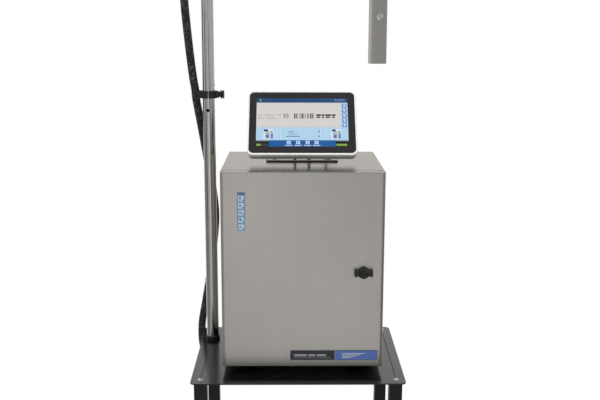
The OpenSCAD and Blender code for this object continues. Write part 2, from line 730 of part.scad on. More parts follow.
module latch_cam() color([0.75, 0.75, 0.74])
  translate([latch_x, shell_front + 2.2, latch_z]) difference() {
    box([-8, 0, -9], [8, 3, 27]);
    box([-3.6, -1, -3.6], [3.6, 4, 3.6]);
  }

// plate on the door's front, centred on x and z
module door_label(x, z, width, height, radius, thickness)
  translate([x, cab_front, z]) rotate([90, 0, 0])
    linear_extrude(thickness) round_rect(width, height, radius);

module nameplate() color([0.05, 0.05, 0.06])
  door_label(x = cab_right - 112.5, z = cab_bottom + 28,
             width = 202, height = 24.5, radius = 3, thickness = 0.8);

module icon_label() color([0.16, 0.38, 0.68])
  door_label(x = cab_left + 47.3, z = cab_bottom + 367,
             width = 17.5, height = 88, radius = 1.5, thickness = 0.4);

// ---------- inside the cabinet ----------

partition_y = 60;                 // partition's front face
partition_t = 2;
fan_y = cab_back - 3.1;           // back of the fan
fan_side = 80;
fan_t = 25;
fan_screw = 35.75;                // fan screws from its axis, across and up
fan_shaft_r = 2;
tank_y = -28;
tank_z = cab_bottom + sheet;
ink_x = cab_left + 92;
solvent_x = cab_right - 98;
neck_r = 22;
switch_x = inlet_x + 44;
rocker_y = cab_back - 2;          // rocker's pivot axis
rocker_pin_r = 2.4;

// origin on the partition's front face, under its middle at the cabinet's underside
module on_partition() translate([cab_x, partition_y, cab_bottom]) children();

// upright partition and the level shelf in front of it
module partition_plate() color([0.6, 0.6, 0.58]) difference() {
  union() {
    box([cab_left + sheet, partition_y, cab_bottom + sheet],
        [cab_right - sheet, partition_y + partition_t, cab_top - sheet]);
    box([cab_left + sheet, -88, cab_bottom + 262],
        [cab_right - sheet, partition_y + 0.5, cab_bottom + 264]);
  }
  // cable and hose pass-throughs
  on_partition() {
    rod_y([-130, -2, 220], 14, 6);
    rod_y([120, -2, 320], 14, 6);
  }
}

module mainboard() color([0.05, 0.3, 0.14]) on_partition() {
  difference() {
    box([-120, -9.6, 285], [80, -8, 425]);
    for (x = [-113, 73], z = [292, 418]) rod_y([x, -12, z], 1.6, 10);
  }
  // spacers
  for (x = [-104, 64], z = [292, 418]) rod_y([x, -8.2, z], 3.5, 8.2);
  // chips, connectors and capacitors
  box([-60, -13, 340], [-25, -9, 375]);
  box([10, -12, 350], [34, -9, 374]);
  for (i = [0:4]) translate([-112 + 26 * i, 0, 0]) box([0, -20, 287], [20, -9, 298]);
  for (i = [0:2]) translate([52, -9, 330 + 18 * i]) rotate([90, 0, 0]) cylinder(r = 5, h = 13);
}

// box with upright slots in its back
module power_supply() color([0.7, 0.7, 0.7]) on_partition() difference() {
  box([-60, partition_t, 190], [50, 42, 350]);
  for (i = [0:8]) translate([-50 + 10.5 * i, 0, 0]) box([0, 38, 205], [4, 43, 335]);
}

// fan's frame: origin on its axis at its back, z towards the front
module in_fan_frame() translate([fan_x, fan_y, fan_z]) rotate([90, 0, 0]) children();

module fan_frame() color([0.06, 0.06, 0.06]) in_fan_frame() {
  difference() {
    translate([0, 0, fan_t / 2]) cube([fan_side, fan_side, fan_t], center = true);
    translate([0, 0, -1]) cylinder(r = 37.5, h = 30);
    for (x = [-fan_screw, fan_screw], y = [-fan_screw, fan_screw])
      translate([x, y, -1]) cylinder(r = 2.2, h = 30);
  }
  // motor stator on its spokes
  difference() {
    union() {
      translate([0, 0, 20]) cylinder(r = 15, h = 4.5);
      for (i = [0:3]) rotate([0, 0, 45 + 90 * i]) translate([10, -2, 21]) cube([29, 4, 3]);
    }
    translate([0, 0, 18]) cylinder(r = fan_shaft_r + run, h = 8);
  }
}

module fan_rotor() color([0.06, 0.06, 0.06]) in_fan_frame() {
  translate([0, 0, 3]) cylinder(r = 16, h = 16);
  translate([0, 0, 18]) cylinder(r = fan_shaft_r, h = 6.5);
  for (i = [0:6]) rotate([0, 0, i * 360 / 7]) translate([14, 0, 11]) rotate([38, 0, 0])
    translate([0, -9, -0.9]) cube([21.5, 18, 1.8]);
}

// jerrycan-like bottle with a neck; the lid screws on the neck
module bottle(x) translate([x, tank_y, tank_z]) difference() {
  union() {
    linear_extrude(150) round_rect(118, 100, 10);
    translate([0, 0, 149]) cylinder(r = neck_r, h = 22);
  }
  translate([0, 0, 2.5]) linear_extrude(145) square([108, 90], center = true);
  translate([0, 0, 140]) cylinder(r = neck_r - 4, h = 40);
}
module lid(x) translate([x, tank_y, tank_z + 152]) difference() {
  union() {
    cylinder(r = 27, h = 24);
    translate([0, 0, 23]) cylinder(r = 8, h = 8);
  }
  translate([0, 0, -1]) cylinder(r = neck_r + run, h = 20.2);
  for (i = [0:11]) rotate([0, 0, 30 * i]) translate([28.5, 0, -1]) cylinder(r = 3, h = 26);
}
module ink_tank() color([0.85, 0.85, 0.82]) bottle(ink_x);
module ink_cap() color([0.07, 0.07, 0.08]) lid(ink_x);
module solvent_tank() color([0.85, 0.85, 0.82]) bottle(solvent_x);
module solvent_cap() color([0.2, 0.35, 0.6]) lid(solvent_x);

// gear pump head on its motor, bolted to the back of the partition
module ink_pump() color([0.55, 0.55, 0.56]) on_partition() {
  box([-150, partition_t, 60], [-100, 26, 110]);
  rod_y([-125, 25, 85], 21, 60);
  for (x = [-140, -110]) translate([x, 14, 109]) cylinder(r = 4, h = 12);
}

// manifold with four solenoid coils above and four pipe stubs below
module valve_block() color([0.7, 0.7, 0.7]) on_partition() {
  box([-70, partition_t, 70], [50, 24, 100]);
  for (i = [0:3]) translate([-55 + 30 * i, 13, 0]) {
    translate([0, 0, 99]) cylinder(r = 11, h = 30);
    translate([0, 0, 128]) cylinder(r = 4, h = 8);
    translate([0, 0, 60]) cylinder(r = 3, h = 11);
  }
}

// mains socket and the switch's housing in one moulding
module power_inlet() color([0.06, 0.06, 0.06]) difference() {
  union() {
    box([inlet_left, cab_back - 26, inlet_z - inlet_half_h],
        [inlet_right, cab_back + 1, inlet_z + inlet_half_h]);
    box([inlet_left - 4, cab_back, inlet_z - inlet_half_h - 3],
        [inlet_right + 4, cab_back + 2.5, inlet_z + inlet_half_h + 3]);
  }
  // socket with its three pins
  translate([inlet_x, cab_back, inlet_z]) difference() {
    box([-11, -16, -7.5], [11, 5, 7.5]);
    for (x = [-7, 0, 7]) box([x - 1, -17, -2], [x + 1, -4, 2]);
  }
  // rocker's pocket and pivot
  translate([switch_x, cab_back, inlet_z]) box([-13, -18, -10.8], [13, 5, 10.8]);
  rod_x([switch_x - 15.5, rocker_y, inlet_z], rocker_pin_r + run, 31);
}

// rocker's side outline [y, z] from its pivot
rocker_outline = [[-9, -5], [0, -9.5], [6.5, -9.5], [4.2, 0], [6.5, 9.5], [0, 9.5], [-9, 5]];

module rocker_switch() color([0.45, 0.05, 0.05]) translate([switch_x, rocker_y, inlet_z]) {
  rotate([90, 0, 90]) translate([0, 0, -12.5]) linear_extrude(25) polygon(rocker_outline);
  rod_x([-15, 0, 0], rocker_pin_r, 30);
}

// ---------- display ----------

disp_y = cab_front + 98;          // display's lower front edge
disp_z = cab_top + 24.4;
pivot_y = cab_front + 182;        // display tilt axis
pivot_z = cab_top + 66;
pivot_r = 5;
ear_x = 30;                       // ears and cheeks, either side of the middle
cheek_x = 17;
gasket_t = 2;                     // bracket's gasket
gasket_margin = 2;                // gasket beyond the bracket's edge
bracket_half_w = 83.5;
bracket_y0 = cab_front + 150;
bracket_y1 = cab_front + 232;
bracket_z0 = cab_top + gasket_t;
bracket_z1 = bracket_z0 + 3;

// display's frame: x right, y up the face, z out of the face
module in_display_frame()
  translate([cab_x, disp_y, disp_z]) rotate([disp_lean, 0, 0]) children();

module display_rear_shell() color([0.85, 0.85, 0.84]) difference() {
  union() {
    in_display_frame() translate([0, disp_height / 2, -disp_depth])
      linear_extrude(disp_depth - 8) round_rect(disp_width - 5, disp_height - 5, 12);
    // ears on the tilt axis
    for (x = [-ear_x, ear_x]) hull() {
      rod_x([cab_x + x - 6, pivot_y, pivot_z], 9, 12);
      in_display_frame() box([x - 6, disp_height / 2 - 22, -disp_depth],
                             [x + 6, disp_height / 2 + 8, -disp_depth + 2]);
    }
  }
  in_display_frame() translate([0, disp_height / 2, -disp_depth + 2.5])
    linear_extrude(disp_depth) square([disp_width - 12, disp_height - 12], center = true);
  rod_x([cab_x - 60, pivot_y, pivot_z], pivot_r + run, 120);
  // back vents
  in_display_frame() for (i = [0:7]) translate([-70 + 18 * i, disp_height - 38, -disp_depth])
    box([0, 0, -1], [12, 3, 4]);
}

module display_rim() color([0.93, 0.93, 0.93])
  in_display_frame() translate([0, disp_height / 2, 0]) difference() {
    union() {
      translate([0, 0, -7.95]) linear_extrude(6.95) round_rect(disp_width, disp_height, 14);
      translate([0, 0, -2]) linear_extrude(2) round_rect(disp_width - 2, disp_height - 2, 13);
    }
    translate([0, 0.8, -2.5]) linear_extrude(5) round_rect(disp_width - 7, disp_height - 9, 11);
    translate([0, 0.8, -10]) linear_extrude(12)
      round_rect(disp_width - 17, disp_height - 19, 6);
  }

// glass and the thicker block behind it
module display_glass() color([0.1, 0.1, 0.11])
  in_display_frame() translate([0, disp_height / 2 + 0.8, 0]) {
    translate([0, 0, -2.45]) linear_extrude(2.15)
      round_rect(disp_width - 7.4, disp_height - 9.4, 10.8);
    translate([0, 0, -8.5]) linear_extrude(6.1)
      round_rect(disp_width - 18, disp_height - 20, 5.5);
  }

module display_bracket() color([0.62, 0.61, 0.59]) {
  box([cab_x - bracket_half_w, bracket_y0, bracket_z0],
      [cab_x + bracket_half_w, bracket_y1, bracket_z1]);
  // upright cheeks and the pivot rod they carry
  for (x = [cab_x - cheek_x, cab_x + cheek_x]) hull() {
    rod_x([x - 3, pivot_y, pivot_z], 8, 6);
    box([x - 3, cab_front + 165, bracket_z0 + 1], [x + 3, cab_front + 225, bracket_z1]);
  }
  rod_x([cab_x - 42, pivot_y, pivot_z], pivot_r, 84);
}

module bracket_gasket() color([0.05, 0.05, 0.05])
  box([cab_x - bracket_half_w - gasket_margin, bracket_y0 - gasket_margin, cab_top],
      [cab_x + bracket_half_w + gasket_margin, bracket_y1 + gasket_margin, bracket_z0]);

// ---------- parts ----------

stand_plate();
stand_legs();
stand_rails();
plate_bolts();
levelling_foot_fl();
levelling_foot_fr();
levelling_foot_bl();
levelling_foot_br();
mast_socket();
mast_tube();
mast_cap();
hose_clamp();
hose_clamp_knob();
stop_collar();
cross_clamp();
mast_clamp_knob();
arm_clamp_knob();
arm_tube();
arm_plugs();
head_clamp();
head_clamp_knob();
head_body();
head_cover();
cover_screw();
head_gland();
nozzle_block();
charge_electrode();
deflector_plates();
ink_gutter();
umbilical_lower();
umbilical_upper();
umbilical_gland();
cabinet_shell();
back_panel();
cabinet_feet();
door_panel();
door_gasket();
door_hinges();
latch_knob();
latch_cam();
nameplate();
icon_label();
partition_plate();
mainboard();
power_supply();
fan_frame();
fan_rotor();
ink_tank();
ink_cap();
solvent_tank();
solvent_cap();
ink_pump();
valve_block();
power_inlet();
rocker_switch();
display_rear_shell();
display_rim();
display_glass();
display_bracket();
bracket_gasket();
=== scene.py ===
# An inkjet coding machine: a cabinet on a stand, a tilted touch display on its top, a mast
# with a reaching arm and a print head, and a braided hose from the cabinet to the head.
# +Z is up, the door faces -Y, +X is to the right seen from the front. The floor is z = 0.
# Blender works in metres; sizes here are in millimetres unless a comment says otherwise.
import json
import math

import bpy
from mathutils import Matrix, Vector


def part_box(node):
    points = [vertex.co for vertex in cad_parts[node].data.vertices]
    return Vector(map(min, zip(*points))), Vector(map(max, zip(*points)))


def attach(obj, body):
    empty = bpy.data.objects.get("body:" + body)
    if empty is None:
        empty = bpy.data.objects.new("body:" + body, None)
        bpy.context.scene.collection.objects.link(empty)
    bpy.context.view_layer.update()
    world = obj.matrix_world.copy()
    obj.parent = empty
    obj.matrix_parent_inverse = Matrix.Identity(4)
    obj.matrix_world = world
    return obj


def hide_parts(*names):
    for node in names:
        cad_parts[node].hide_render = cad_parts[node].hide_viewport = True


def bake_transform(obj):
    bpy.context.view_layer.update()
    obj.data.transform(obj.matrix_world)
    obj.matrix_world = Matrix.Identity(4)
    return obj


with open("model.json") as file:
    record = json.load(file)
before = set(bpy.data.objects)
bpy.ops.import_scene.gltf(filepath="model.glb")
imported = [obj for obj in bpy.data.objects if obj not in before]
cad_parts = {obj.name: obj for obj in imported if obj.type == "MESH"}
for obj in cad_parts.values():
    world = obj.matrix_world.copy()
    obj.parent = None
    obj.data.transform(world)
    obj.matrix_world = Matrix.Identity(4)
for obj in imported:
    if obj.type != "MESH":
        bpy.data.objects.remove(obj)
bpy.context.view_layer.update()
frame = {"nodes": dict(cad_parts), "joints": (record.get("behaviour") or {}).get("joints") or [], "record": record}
NODES = frame["nodes"]
SLOT_OF = {part["node"]: part["material_slot"] for part in frame["record"]["subparts"]}
SCENE = bpy.context.scene
MM = 0.001
UP = (0, 0, 1)
FORWARD = (0, -1, 0)
rad = math.radians


def mm(x, y, z):
    return Vector((x * MM, y * MM, z * MM))


def middle(name):
    """Middle of a CAD piece's box, in metres."""
    return tuple((low + high) / 2 for low, high in zip(*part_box(name)))


def frame_at(origin, axis=UP, side=(1, 0, 0)):
    """Matrix whose Z runs along axis and X along side; the origin is in metres."""
    z = Vector(axis).normalized()
    y = z.cross(Vector(side)).normalized()
    x = y.cross(z)
    return Matrix(((x.x, y.x, z.x, origin[0]), (x.y, y.y, z.y, origin[1]),
                   (x.z, y.z, z.z, origin[2]), (0, 0, 0, 1)))


# ------------------------------------------------------------------ main positions

MAST = Vector((*middle("mast_tube")[:2], 0))
MAST_X, MAST_Y = MAST.x / MM, MAST.y / MM
ARM_Z, ARM_ACROSS = 1640.0, 32.0      # height of the arm, its offset behind the mast
HEAD_REACH, HEAD_ACROSS = 416.0, -5.0  # print head, along the arm and across it
HEAD_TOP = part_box("head_body")[1].z / MM

# REACH is the way the arm slides out, ACROSS is level and square to it, towards the back
REACH = Vector(next(j for j in frame["joints"] if j["name"] == "arm_reach")["axis"]).normalized()
if REACH.x < 0:
    REACH = -REACH
ACROSS = Vector(UP).cross(REACH)

door_lo, door_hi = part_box("door_panel")
shell_lo, shell_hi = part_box("cabinet_shell")
LEFT_X, RIGHT_X = door_lo.x / MM, door_hi.x / MM
FRONT_Y, BACK_Y = door_lo.y / MM, shell_hi.y / MM + 1.5
BASE_Z, TOP_Z = shell_lo.z / MM, shell_hi.z / MM

DISPLAY_X, DISPLAY_TILT = 10, 50.3   # tilt in degrees from level
DISPLAY_W, DISPLAY_H = 258.0, 180.0


def arm_point(along, across, z):
    return MAST + REACH * (along * MM) + ACROSS * (across * MM) + Vector((0, 0, z * MM))


def near(x0, y0, z0):
    """A function that places points given from (x0, y0, z0)."""
    return lambda x, y, z: mm(x0 + x, y0 + y, z0 + z)


# ------------------------------------------------------------------ node helpers

def plug(tree, socket, value):
    if isinstance(value, bpy.types.NodeSocket):
        tree.links.new(value, socket)
    else:
        socket.default_value = (*value[:3], 1) if socket.type == "RGBA" else value


def add_node(tree, kind, inputs=(), **settings):
    """Adds a node; inputs maps socket names or numbers to values or output sockets."""
    node = tree.nodes.new(kind)
    for key, value in settings.items():
        setattr(node, key, value)
    for key, value in dict(inputs).items():
        plug(tree, node.inputs[key], value)
    return node


def fill_ramp(node, stops):
    """Stops are (position, colour)."""
    elements = node.color_ramp.elements
    while len(elements) < len(stops):
        elements.new(0.5)
    for element, (position, colour) in zip(elements, stops):
        element.position = position
        element.color = (*colour[:3], 1)


def linear(r, g, b):
    """sRGB 0..255 to linear RGBA."""
    scaled = [c / 255.0 for c in (r, g, b)]
    return (*(c / 12.92 if c <= 0.04045 else ((c + 0.055) / 1.055) ** 2.4 for c in scaled), 1.0)


def shade(colour, factor):
    return tuple(c * factor for c in colour[:3])


MATERIALS = {}


class Mat:
    """A node material under construction, kept in MATERIALS under its name."""

    def __init__(self, name):
        self.mat = bpy.data.materials.new(name)
        self.mat.use_nodes = True
        self.tree = self.mat.node_tree
        self.tree.nodes.clear()
        self.bsdf = self.node("ShaderNodeBsdfPrincipled")
        self.out = self.node("ShaderNodeOutputMaterial", {0: self.bsdf.outputs[0]})
        coords = self.node("ShaderNodeTexCoord")
        self.obj, self.uv = coords.outputs["Object"], coords.outputs["UV"]
        MATERIALS[name] = self.mat

    def node(self, kind, inputs=(), **settings):
        return add_node(self.tree, kind, inputs, **settings)

    def set(self, **values):
        for key, value in values.items():
            plug(self.tree, self.bsdf.inputs[key.replace("_", " ")], value)

    def scaled(self, scale, vec=None):
        scale = scale if isinstance(scale, tuple) else (scale,) * 3
        return self.node("ShaderNodeMapping", {"Vector": vec or self.obj, "Scale": scale}).outputs[0]

    def noise(self, scale, detail=2.0, rough=0.5, vec=None):
        """Noise with scale cells per metre, one number or one for each axis."""
        return self.node("ShaderNodeTexNoise", {
            "Vector": self.scaled(scale, vec), "Scale": 1.0,
            "Detail": detail, "Roughness": rough}).outputs["Fac"]

    def voronoi(self, scale):
        return self.node("ShaderNodeTexVoronoi", {
            "Vector": self.scaled(scale), "Scale": 1.0}).outputs["Distance"]

    def math(self, operation, *values):
        return self.node("ShaderNodeMath", dict(enumerate(values)), operation=operation).outputs[0]

    def span(self, value, from_low, from_high, low=0.0, high=1.0):
        """Maps from_low..from_high onto low..high, clamped."""
        return self.node("ShaderNodeMapRange", {
            "Value": value, "From Min": from_low, "From Max": from_high,
            "To Min": low, "To Max": high}).outputs[0]

    def spread(self, noise, low, high):
        """Maps the middle of a noise's range onto low..high."""
        return self.span(noise, 0.3, 0.7, low, high)

    def ramp(self, fac, stops):
        node = self.node("ShaderNodeValToRGB", {0: fac})
        fill_ramp(node, stops)
        return node.outputs[0]

    def shades(self, noise, base, dark, light, low=0.3, high=0.7):
        """The base colour times dark at the low end of a noise and times light at the high end."""
        return self.ramp(noise, [(low, shade(base, dark)), (high, shade(base, light))])

    def mix(self, fac, a, b):
        node = self.node("ShaderNodeMix", {0: fac}, data_type="RGBA")
        for socket, value in zip([s for s in node.inputs if s.type == "RGBA"], (a, b)):
            plug(self.tree, socket, value)
        return next(s for s in node.outputs if s.type == "RGBA")

    def bump(self, height, strength, distance):
        """Distance is in metres."""
        return self.node("ShaderNodeBump", {
            "Strength": strength, "Distance": distance, "Height": height}).outputs[0]

    def xyz(self, vec):
        return self.node("ShaderNodeSeparateXYZ", {0: vec}).outputs

    def flat_face(self):
        """1 where the face looks up or down, 0 on upright faces."""
        normal = self.node("ShaderNodeNewGeometry").outputs["Normal"]
        local = self.node("ShaderNodeVectorTransform", {0: normal}, vector_type="NORMAL",
                          convert_from="WORLD", convert_to="OBJECT")
        z = self.xyz(local.outputs[0])[2]
        return self.math("GREATER_THAN", self.math("ABSOLUTE", z), 0.62)


# ------------------------------------------------------------------ kinds of material

def brushed(name, base, rough, streak=0.07, grain=900, bump=0.10, level_shine=0.0):
    """Brushed sheet: fine strokes along Z on upright faces, along X on level ones; clouding."""
    m = Mat(name)
    upright = m.noise((grain, grain, 7), detail=3, rough=0.6)
    level = m.noise((7, grain, grain), detail=3, rough=0.6)
    flat = m.flat_face()
    stroke = m.node("ShaderNodeMix", {0: flat, 2: upright, 3: level}, data_type="FLOAT").outputs[0]
    wide = m.noise((60, 60, 2.2))
    cloud = m.noise((5, 5, 4), detail=3, rough=0.55)
    colour = m.mix(0.6, m.shades(stroke, base, 1 - streak, 1 + streak),
                   m.shades(cloud, base, 0.96, 1.04, low=0.35, high=0.65))
    roughness = m.math("ADD", m.spread(stroke, rough - 0.05, rough + 0.05),
                       m.spread(wide, -0.02, 0.02))
    if level_shine:
        # rolled sheet seen edge-on: the level faces keep more of the mill shine
        roughness = m.math("SUBTRACT", roughness, m.math("MULTIPLY", flat, level_shine))
    m.set(Base_Color=colour, Metallic=1.0, Roughness=roughness,
          Normal=m.bump(stroke, bump, distance=0.00008), Specular_Tint=(0.62, 0.61, 0.60))


def tube_metal(name, base, rough):
    """Polished tube: fine lengthwise grain, faint rings and dull spots."""
    m = Mat(name)
    fine = m.noise((420, 420, 3), detail=3, rough=0.6)
    rings = m.noise((30, 30, 1600))
    spots = m.noise((40, 40, 14), detail=4, rough=0.6)
    colour = m.mix(m.span(spots, 0.62, 0.75, 0, 0.25),
                   m.shades(fine, base, 0.95, 1.04), shade(base, 0.8))
    roughness = m.math("ADD", m.spread(fine, rough - 0.03, rough + 0.03),
                       m.span(spots, 0.55, 0.75, 0, 0.05))
    m.set(Base_Color=colour, Metallic=1.0, Roughness=roughness,
          Normal=m.bump(rings, strength=0.03, distance=0.00005))


def powder(name, base, rough, peel, ior=1.45, pitch=650):
    """Powder coat: orange peel, paler patches and fine dust."""
    m = Mat(name)
    orange_peel = m.noise(pitch)
    patches = m.noise(9, detail=4, rough=0.6)
    dust = m.noise(1800, detail=1)
    colour = m.mix(m.span(patches, 0.35, 0.7), base, shade(base, 1.35))
    colour = m.mix(m.span(dust, 0.72, 0.8, 0, 0.3), colour, shade(base, 3.0))
    m.set(Base_Color=colour, Roughness=m.spread(patches, rough - 0.03, rough + 0.05), IOR=ior,
          Normal=m.bump(orange_peel, peel, distance=0.0002))


def plastic(name, base, rough, bump=0.12, coat=0.0, var=0.08):
    """Moulded plastic: fine grain, a faint drift of colour and shine."""
    m = Mat(name)
    grain = m.noise(1500, rough=0.6)
    drift = m.noise(14, detail=3)
    m.set(Base_Color=m.shades(drift, base, 1 - var, 1 + var),
          Roughness=m.spread(drift, rough - 0.04, rough + 0.05), IOR=1.46,
          Coat_Weight=coat, Coat_Roughness=0.12, Normal=m.bump(grain, bump, distance=0.0001))


def rubber(name, base, rough):
    m = Mat(name)
    grain = m.noise(900, detail=3, rough=0.65)
    dust = m.noise(30, detail=4, rough=0.6)
    m.set(Base_Color=m.mix(m.span(dust, 0.45, 0.75, 0, 0.5), base, shade(base, 2.4)),
          Roughness=m.spread(grain, rough - 0.08, rough + 0.08), IOR=1.5,
          Normal=m.bump(grain, strength=0.25, distance=0.0002))


def cast_metal(name, base, rough):
    m = Mat(name)
    grain = m.noise(1100, detail=3, rough=0.6)
    pits = m.voronoi(700)
    drift = m.noise(25, detail=3)
    m.set(Base_Color=m.shades(drift, base, 0.9, 1.08), Metallic=1.0,
          Roughness=m.spread(grain, rough - 0.06, rough + 0.06),
          Normal=m.bump(m.math("ADD", grain, pits), strength=0.10, distance=0.00012))


def braid(name):
    """Braided sleeve of crossing strands, laid out on the hose's UV map."""
    m = Mat(name)
    x, y, _ = m.xyz(m.uv)
    one_way = m.math("ADD", x, y)
    other_way = m.math("SUBTRACT", x, y)

    def strand(along):
        return m.math("ABSOLUTE", m.math("SINE", m.math("MULTIPLY", along, math.pi)))
    strand_a, strand_b = strand(one_way), strand(other_way)
    cell = m.node("ShaderNodeCombineXYZ", {
        0: m.math("FLOOR", one_way), 1: m.math("FLOOR", other_way)})
    per_cell = m.node("ShaderNodeTexWhiteNoise", noise_dimensions="2D",
                      inputs={"Vector": cell.outputs[0]})
    per_run = m.node("ShaderNodeTexWhiteNoise", noise_dimensions="1D",
                     inputs={"W": m.math("FLOOR", one_way)})
    filaments = m.noise((6, 60, 1), rough=0.6, vec=m.uv)
    cloth = m.ramp(per_cell.outputs["Value"], [
        (0.0, (0.006, 0.006, 0.007)), (0.55, (0.012, 0.012, 0.014)),
        (0.72, (0.05, 0.05, 0.056)), (1.0, (0.14, 0.14, 0.15))])
    # painted shade: the grooves between crossing strands are darkened to near-black
    gap = m.span(m.math("MULTIPLY", strand_a, strand_b), 0.05, 0.6, 1, 0)
    colour = m.mix(gap, cloth, (0.004, 0.004, 0.004))
    pale_run = m.span(per_run.outputs["Value"], 0.9, 0.95, 0, 0.35)
    colour = m.mix(pale_run, colour, (0.1, 0.1, 0.11))
    height = m.math("ADD", m.math("MULTIPLY", strand_a, strand_b),
                    m.math("MULTIPLY", filaments, 0.2))
    m.set(Base_Color=colour, Roughness=m.spread(filaments, 0.42, 0.62), IOR=1.5,
          Normal=m.bump(height, strength=0.5, distance=0.0006))


def printed(name, emission=0.0):
    """Printed film, or a lit panel when it emits; colours come from the mesh's tint layer."""
    m = Mat(name)
    tint = m.node("ShaderNodeVertexColor", layer_name="tint").outputs["Color"]
    grain = m.noise(2600, detail=1)
    drift = m.noise(18)
    colour = m.mix(m.spread(grain, 0, 0.10), tint, (0, 0, 0))
    if emission:
        colour = m.mix(m.spread(drift, 0.0, 0.015), colour, (0.75, 0.82, 0.9))
        m.set(Base_Color=m.mix(0.93, colour, (0, 0, 0)), Emission_Color=colour,
              Emission_Strength=emission, Roughness=m.spread(grain, 0.07, 0.10),
              Specular_IOR_Level=0.2)
    else:
        m.set(Base_Color=colour, Roughness=m.spread(drift, 0.25, 0.31), Coat_Weight=0.25,
              Coat_Roughness=0.1, Normal=m.bump(grain, strength=0.04, distance=0.00005))


def glass_black(name):
    """Black glass with faint wiping marks."""
    m = Mat(name)
    drift = m.noise(22, detail=4, rough=0.6)
    wipe = m.noise((140, 14, 60), detail=3, rough=0.6)
    m.set(Base_Color=m.ramp(drift, [(0.3, (0.018, 0.018, 0.021)), (0.7, (0.023, 0.023, 0.026))]),
          Roughness=m.span(wipe, 0.35, 0.75, 0.07, 0.15), IOR=1.45, Specular_IOR_Level=0.4)


def circuit_board(name):
    """Green board with traces and pads; everything in front of chip_y is a dark chip."""
    chip_y = 0.0502
    m = Mat(name)
    x, y, z = m.xyz(m.obj)
    face = m.node("ShaderNodeCombineXYZ", {0: x, 1: z})
    traces = m.node("ShaderNodeTexBrick", {
        "Vector": face.outputs[0], "Scale": 260, "Mortar Size": 0.06,
        "Color1": (0.008, 0.085, 0.035), "Color2": (0.006, 0.06, 0.026),
        "Mortar": (0.02, 0.16, 0.06)})
    pads = m.voronoi(240)
    colour = m.mix(m.span(pads, 0.12, 0.16, 1, 0), traces.outputs["Color"], (0.6, 0.58, 0.5))
    colour = m.mix(m.math("LESS_THAN", y, chip_y), colour, (0.014, 0.014, 0.015))
    m.set(Base_Color=colour, Roughness=m.span(pads, 0.1, 0.6, 0.22, 0.34), IOR=1.5,
          Normal=m.bump(traces.outputs["Fac"], strength=0.15, distance=0.0001))


def bottle_plastic(name, level, dark, clear):
    """Natural polyethylene with the liquid showing through up to its level, in metres."""
    m = Mat(name)
    wave = m.noise((30, 30, 6))
    height = m.math("ADD", m.xyz(m.obj)[2], m.spread(wave, -0.0008, 0.0008))
    above = m.span(height, level - 0.002, level + 0.002)
    grain = m.noise(500)
    m.set(Base_Color=m.mix(above, dark, clear), Roughness=m.spread(grain, 0.34, 0.46), IOR=1.5,
          Subsurface_Weight=0.25, Subsurface_Radius=(0.02, 0.018, 0.014), Subsurface_Scale=0.3,
          Normal=m.bump(grain, strength=0.08, distance=0.0002))


def housing(name, pale, dark):
    """Two-tone display shell: pale near the glass, dark behind the parting groove."""
    hinge_y, hinge_z = -0.035, 1.2184    # a point of the display's front plane, metres
    split = -0.0212                      # the parting line, from that plane
    m = Mat(name)
    _, y, z = m.xyz(m.obj)
    along_y = m.math("MULTIPLY", m.math("SUBTRACT", y, hinge_y), -math.sin(rad(DISPLAY_TILT)))
    along_z = m.math("MULTIPLY", m.math("SUBTRACT", z, hinge_z), math.cos(rad(DISPLAY_TILT)))
    depth = m.math("ADD", along_y, along_z)
    in_front = m.span(depth, split - 0.00015, split + 0.00015)
    grain = m.noise(1500, rough=0.6)
    groove = m.math("ABSOLUTE", m.math("SUBTRACT", depth, split))
    drift = m.noise(14, detail=3)
    colour = m.mix(in_front, dark, pale)
    colour = m.mix(m.span(groove, 0.0003, 0.0006, 0.8, 0), colour, (0.004, 0.004, 0.004))
    colour = m.mix(m.spread(drift, 0, 0.12), colour, (0.3, 0.3, 0.3))
    m.set(Base_Color=colour, Roughness=m.spread(drift, 0.36, 0.46), IOR=1.46,
          Normal=m.bump(grain, strength=0.12, distance=0.0001))


# ------------------------------------------------------------------ the materials

CLEAR_BOTTLE = (0.72, 0.71, 0.66)

brushed("stainless", (0.562, 0.540, 0.505), rough=0.36, bump=0.08, level_shine=0.12)
tube_metal("polished_tube", (0.60, 0.585, 0.555), rough=0.15)
brushed("head_steel", (0.50, 0.485, 0.465), rough=0.33, streak=0.05, grain=1300)
powder("plate_black", (0.0042, 0.0043, 0.0046), rough=0.17, peel=0.03, ior=1.5)
powder("frame_black", (0.004, 0.004, 0.0045), rough=0.45, peel=0.12, ior=1.4)
cast_metal("bright_steel", (0.72, 0.71, 0.69), rough=0.2)
plastic("black_plastic", (0.012, 0.012, 0.013), rough=0.4)
plastic("gloss_black", (0.008, 0.008, 0.009), rough=0.22, bump=0.04, coat=0.2)
rubber("black_rubber", (0.010, 0.010, 0.010), rough=0.75)
cast_metal("clamp_grey", (0.40, 0.40, 0.405), rough=0.42)
powder("clamp_black", (0.011, 0.011, 0.012), rough=0.34, peel=0.15, pitch=900)
braid("hose_braid")
plastic("label_blue", linear(72, 112, 170), rough=0.3, bump=0.03, coat=0.3, var=0.05)
plastic("plate_print", (0.010, 0.010, 0.013), rough=0.25, bump=0.03, coat=0.4, var=0.05)
plastic("rim_white", (0.90, 0.90, 0.895), rough=0.32, bump=0.03, coat=0.1, var=0.012)
housing("shell_grey", pale=(0.46, 0.46, 0.45), dark=(0.012, 0.012, 0.013))
glass_black("screen_glass")
brushed("inner_steel", (0.50, 0.495, 0.475), rough=0.42, streak=0.04, grain=500)
circuit_board("board_green")
bottle_plastic("natural_plastic", level=0.852, dark=(0.30, 0.32, 0.33), clear=CLEAR_BOTTLE)
plastic("cap_blue", (0.025, 0.10, 0.32), rough=0.3, coat=0.1)
cast_metal("valve_metal", (0.60, 0.60, 0.60), rough=0.33)
plastic("switch_red", (0.28, 0.008, 0.008), rough=0.25, bump=0.03, coat=0.3)
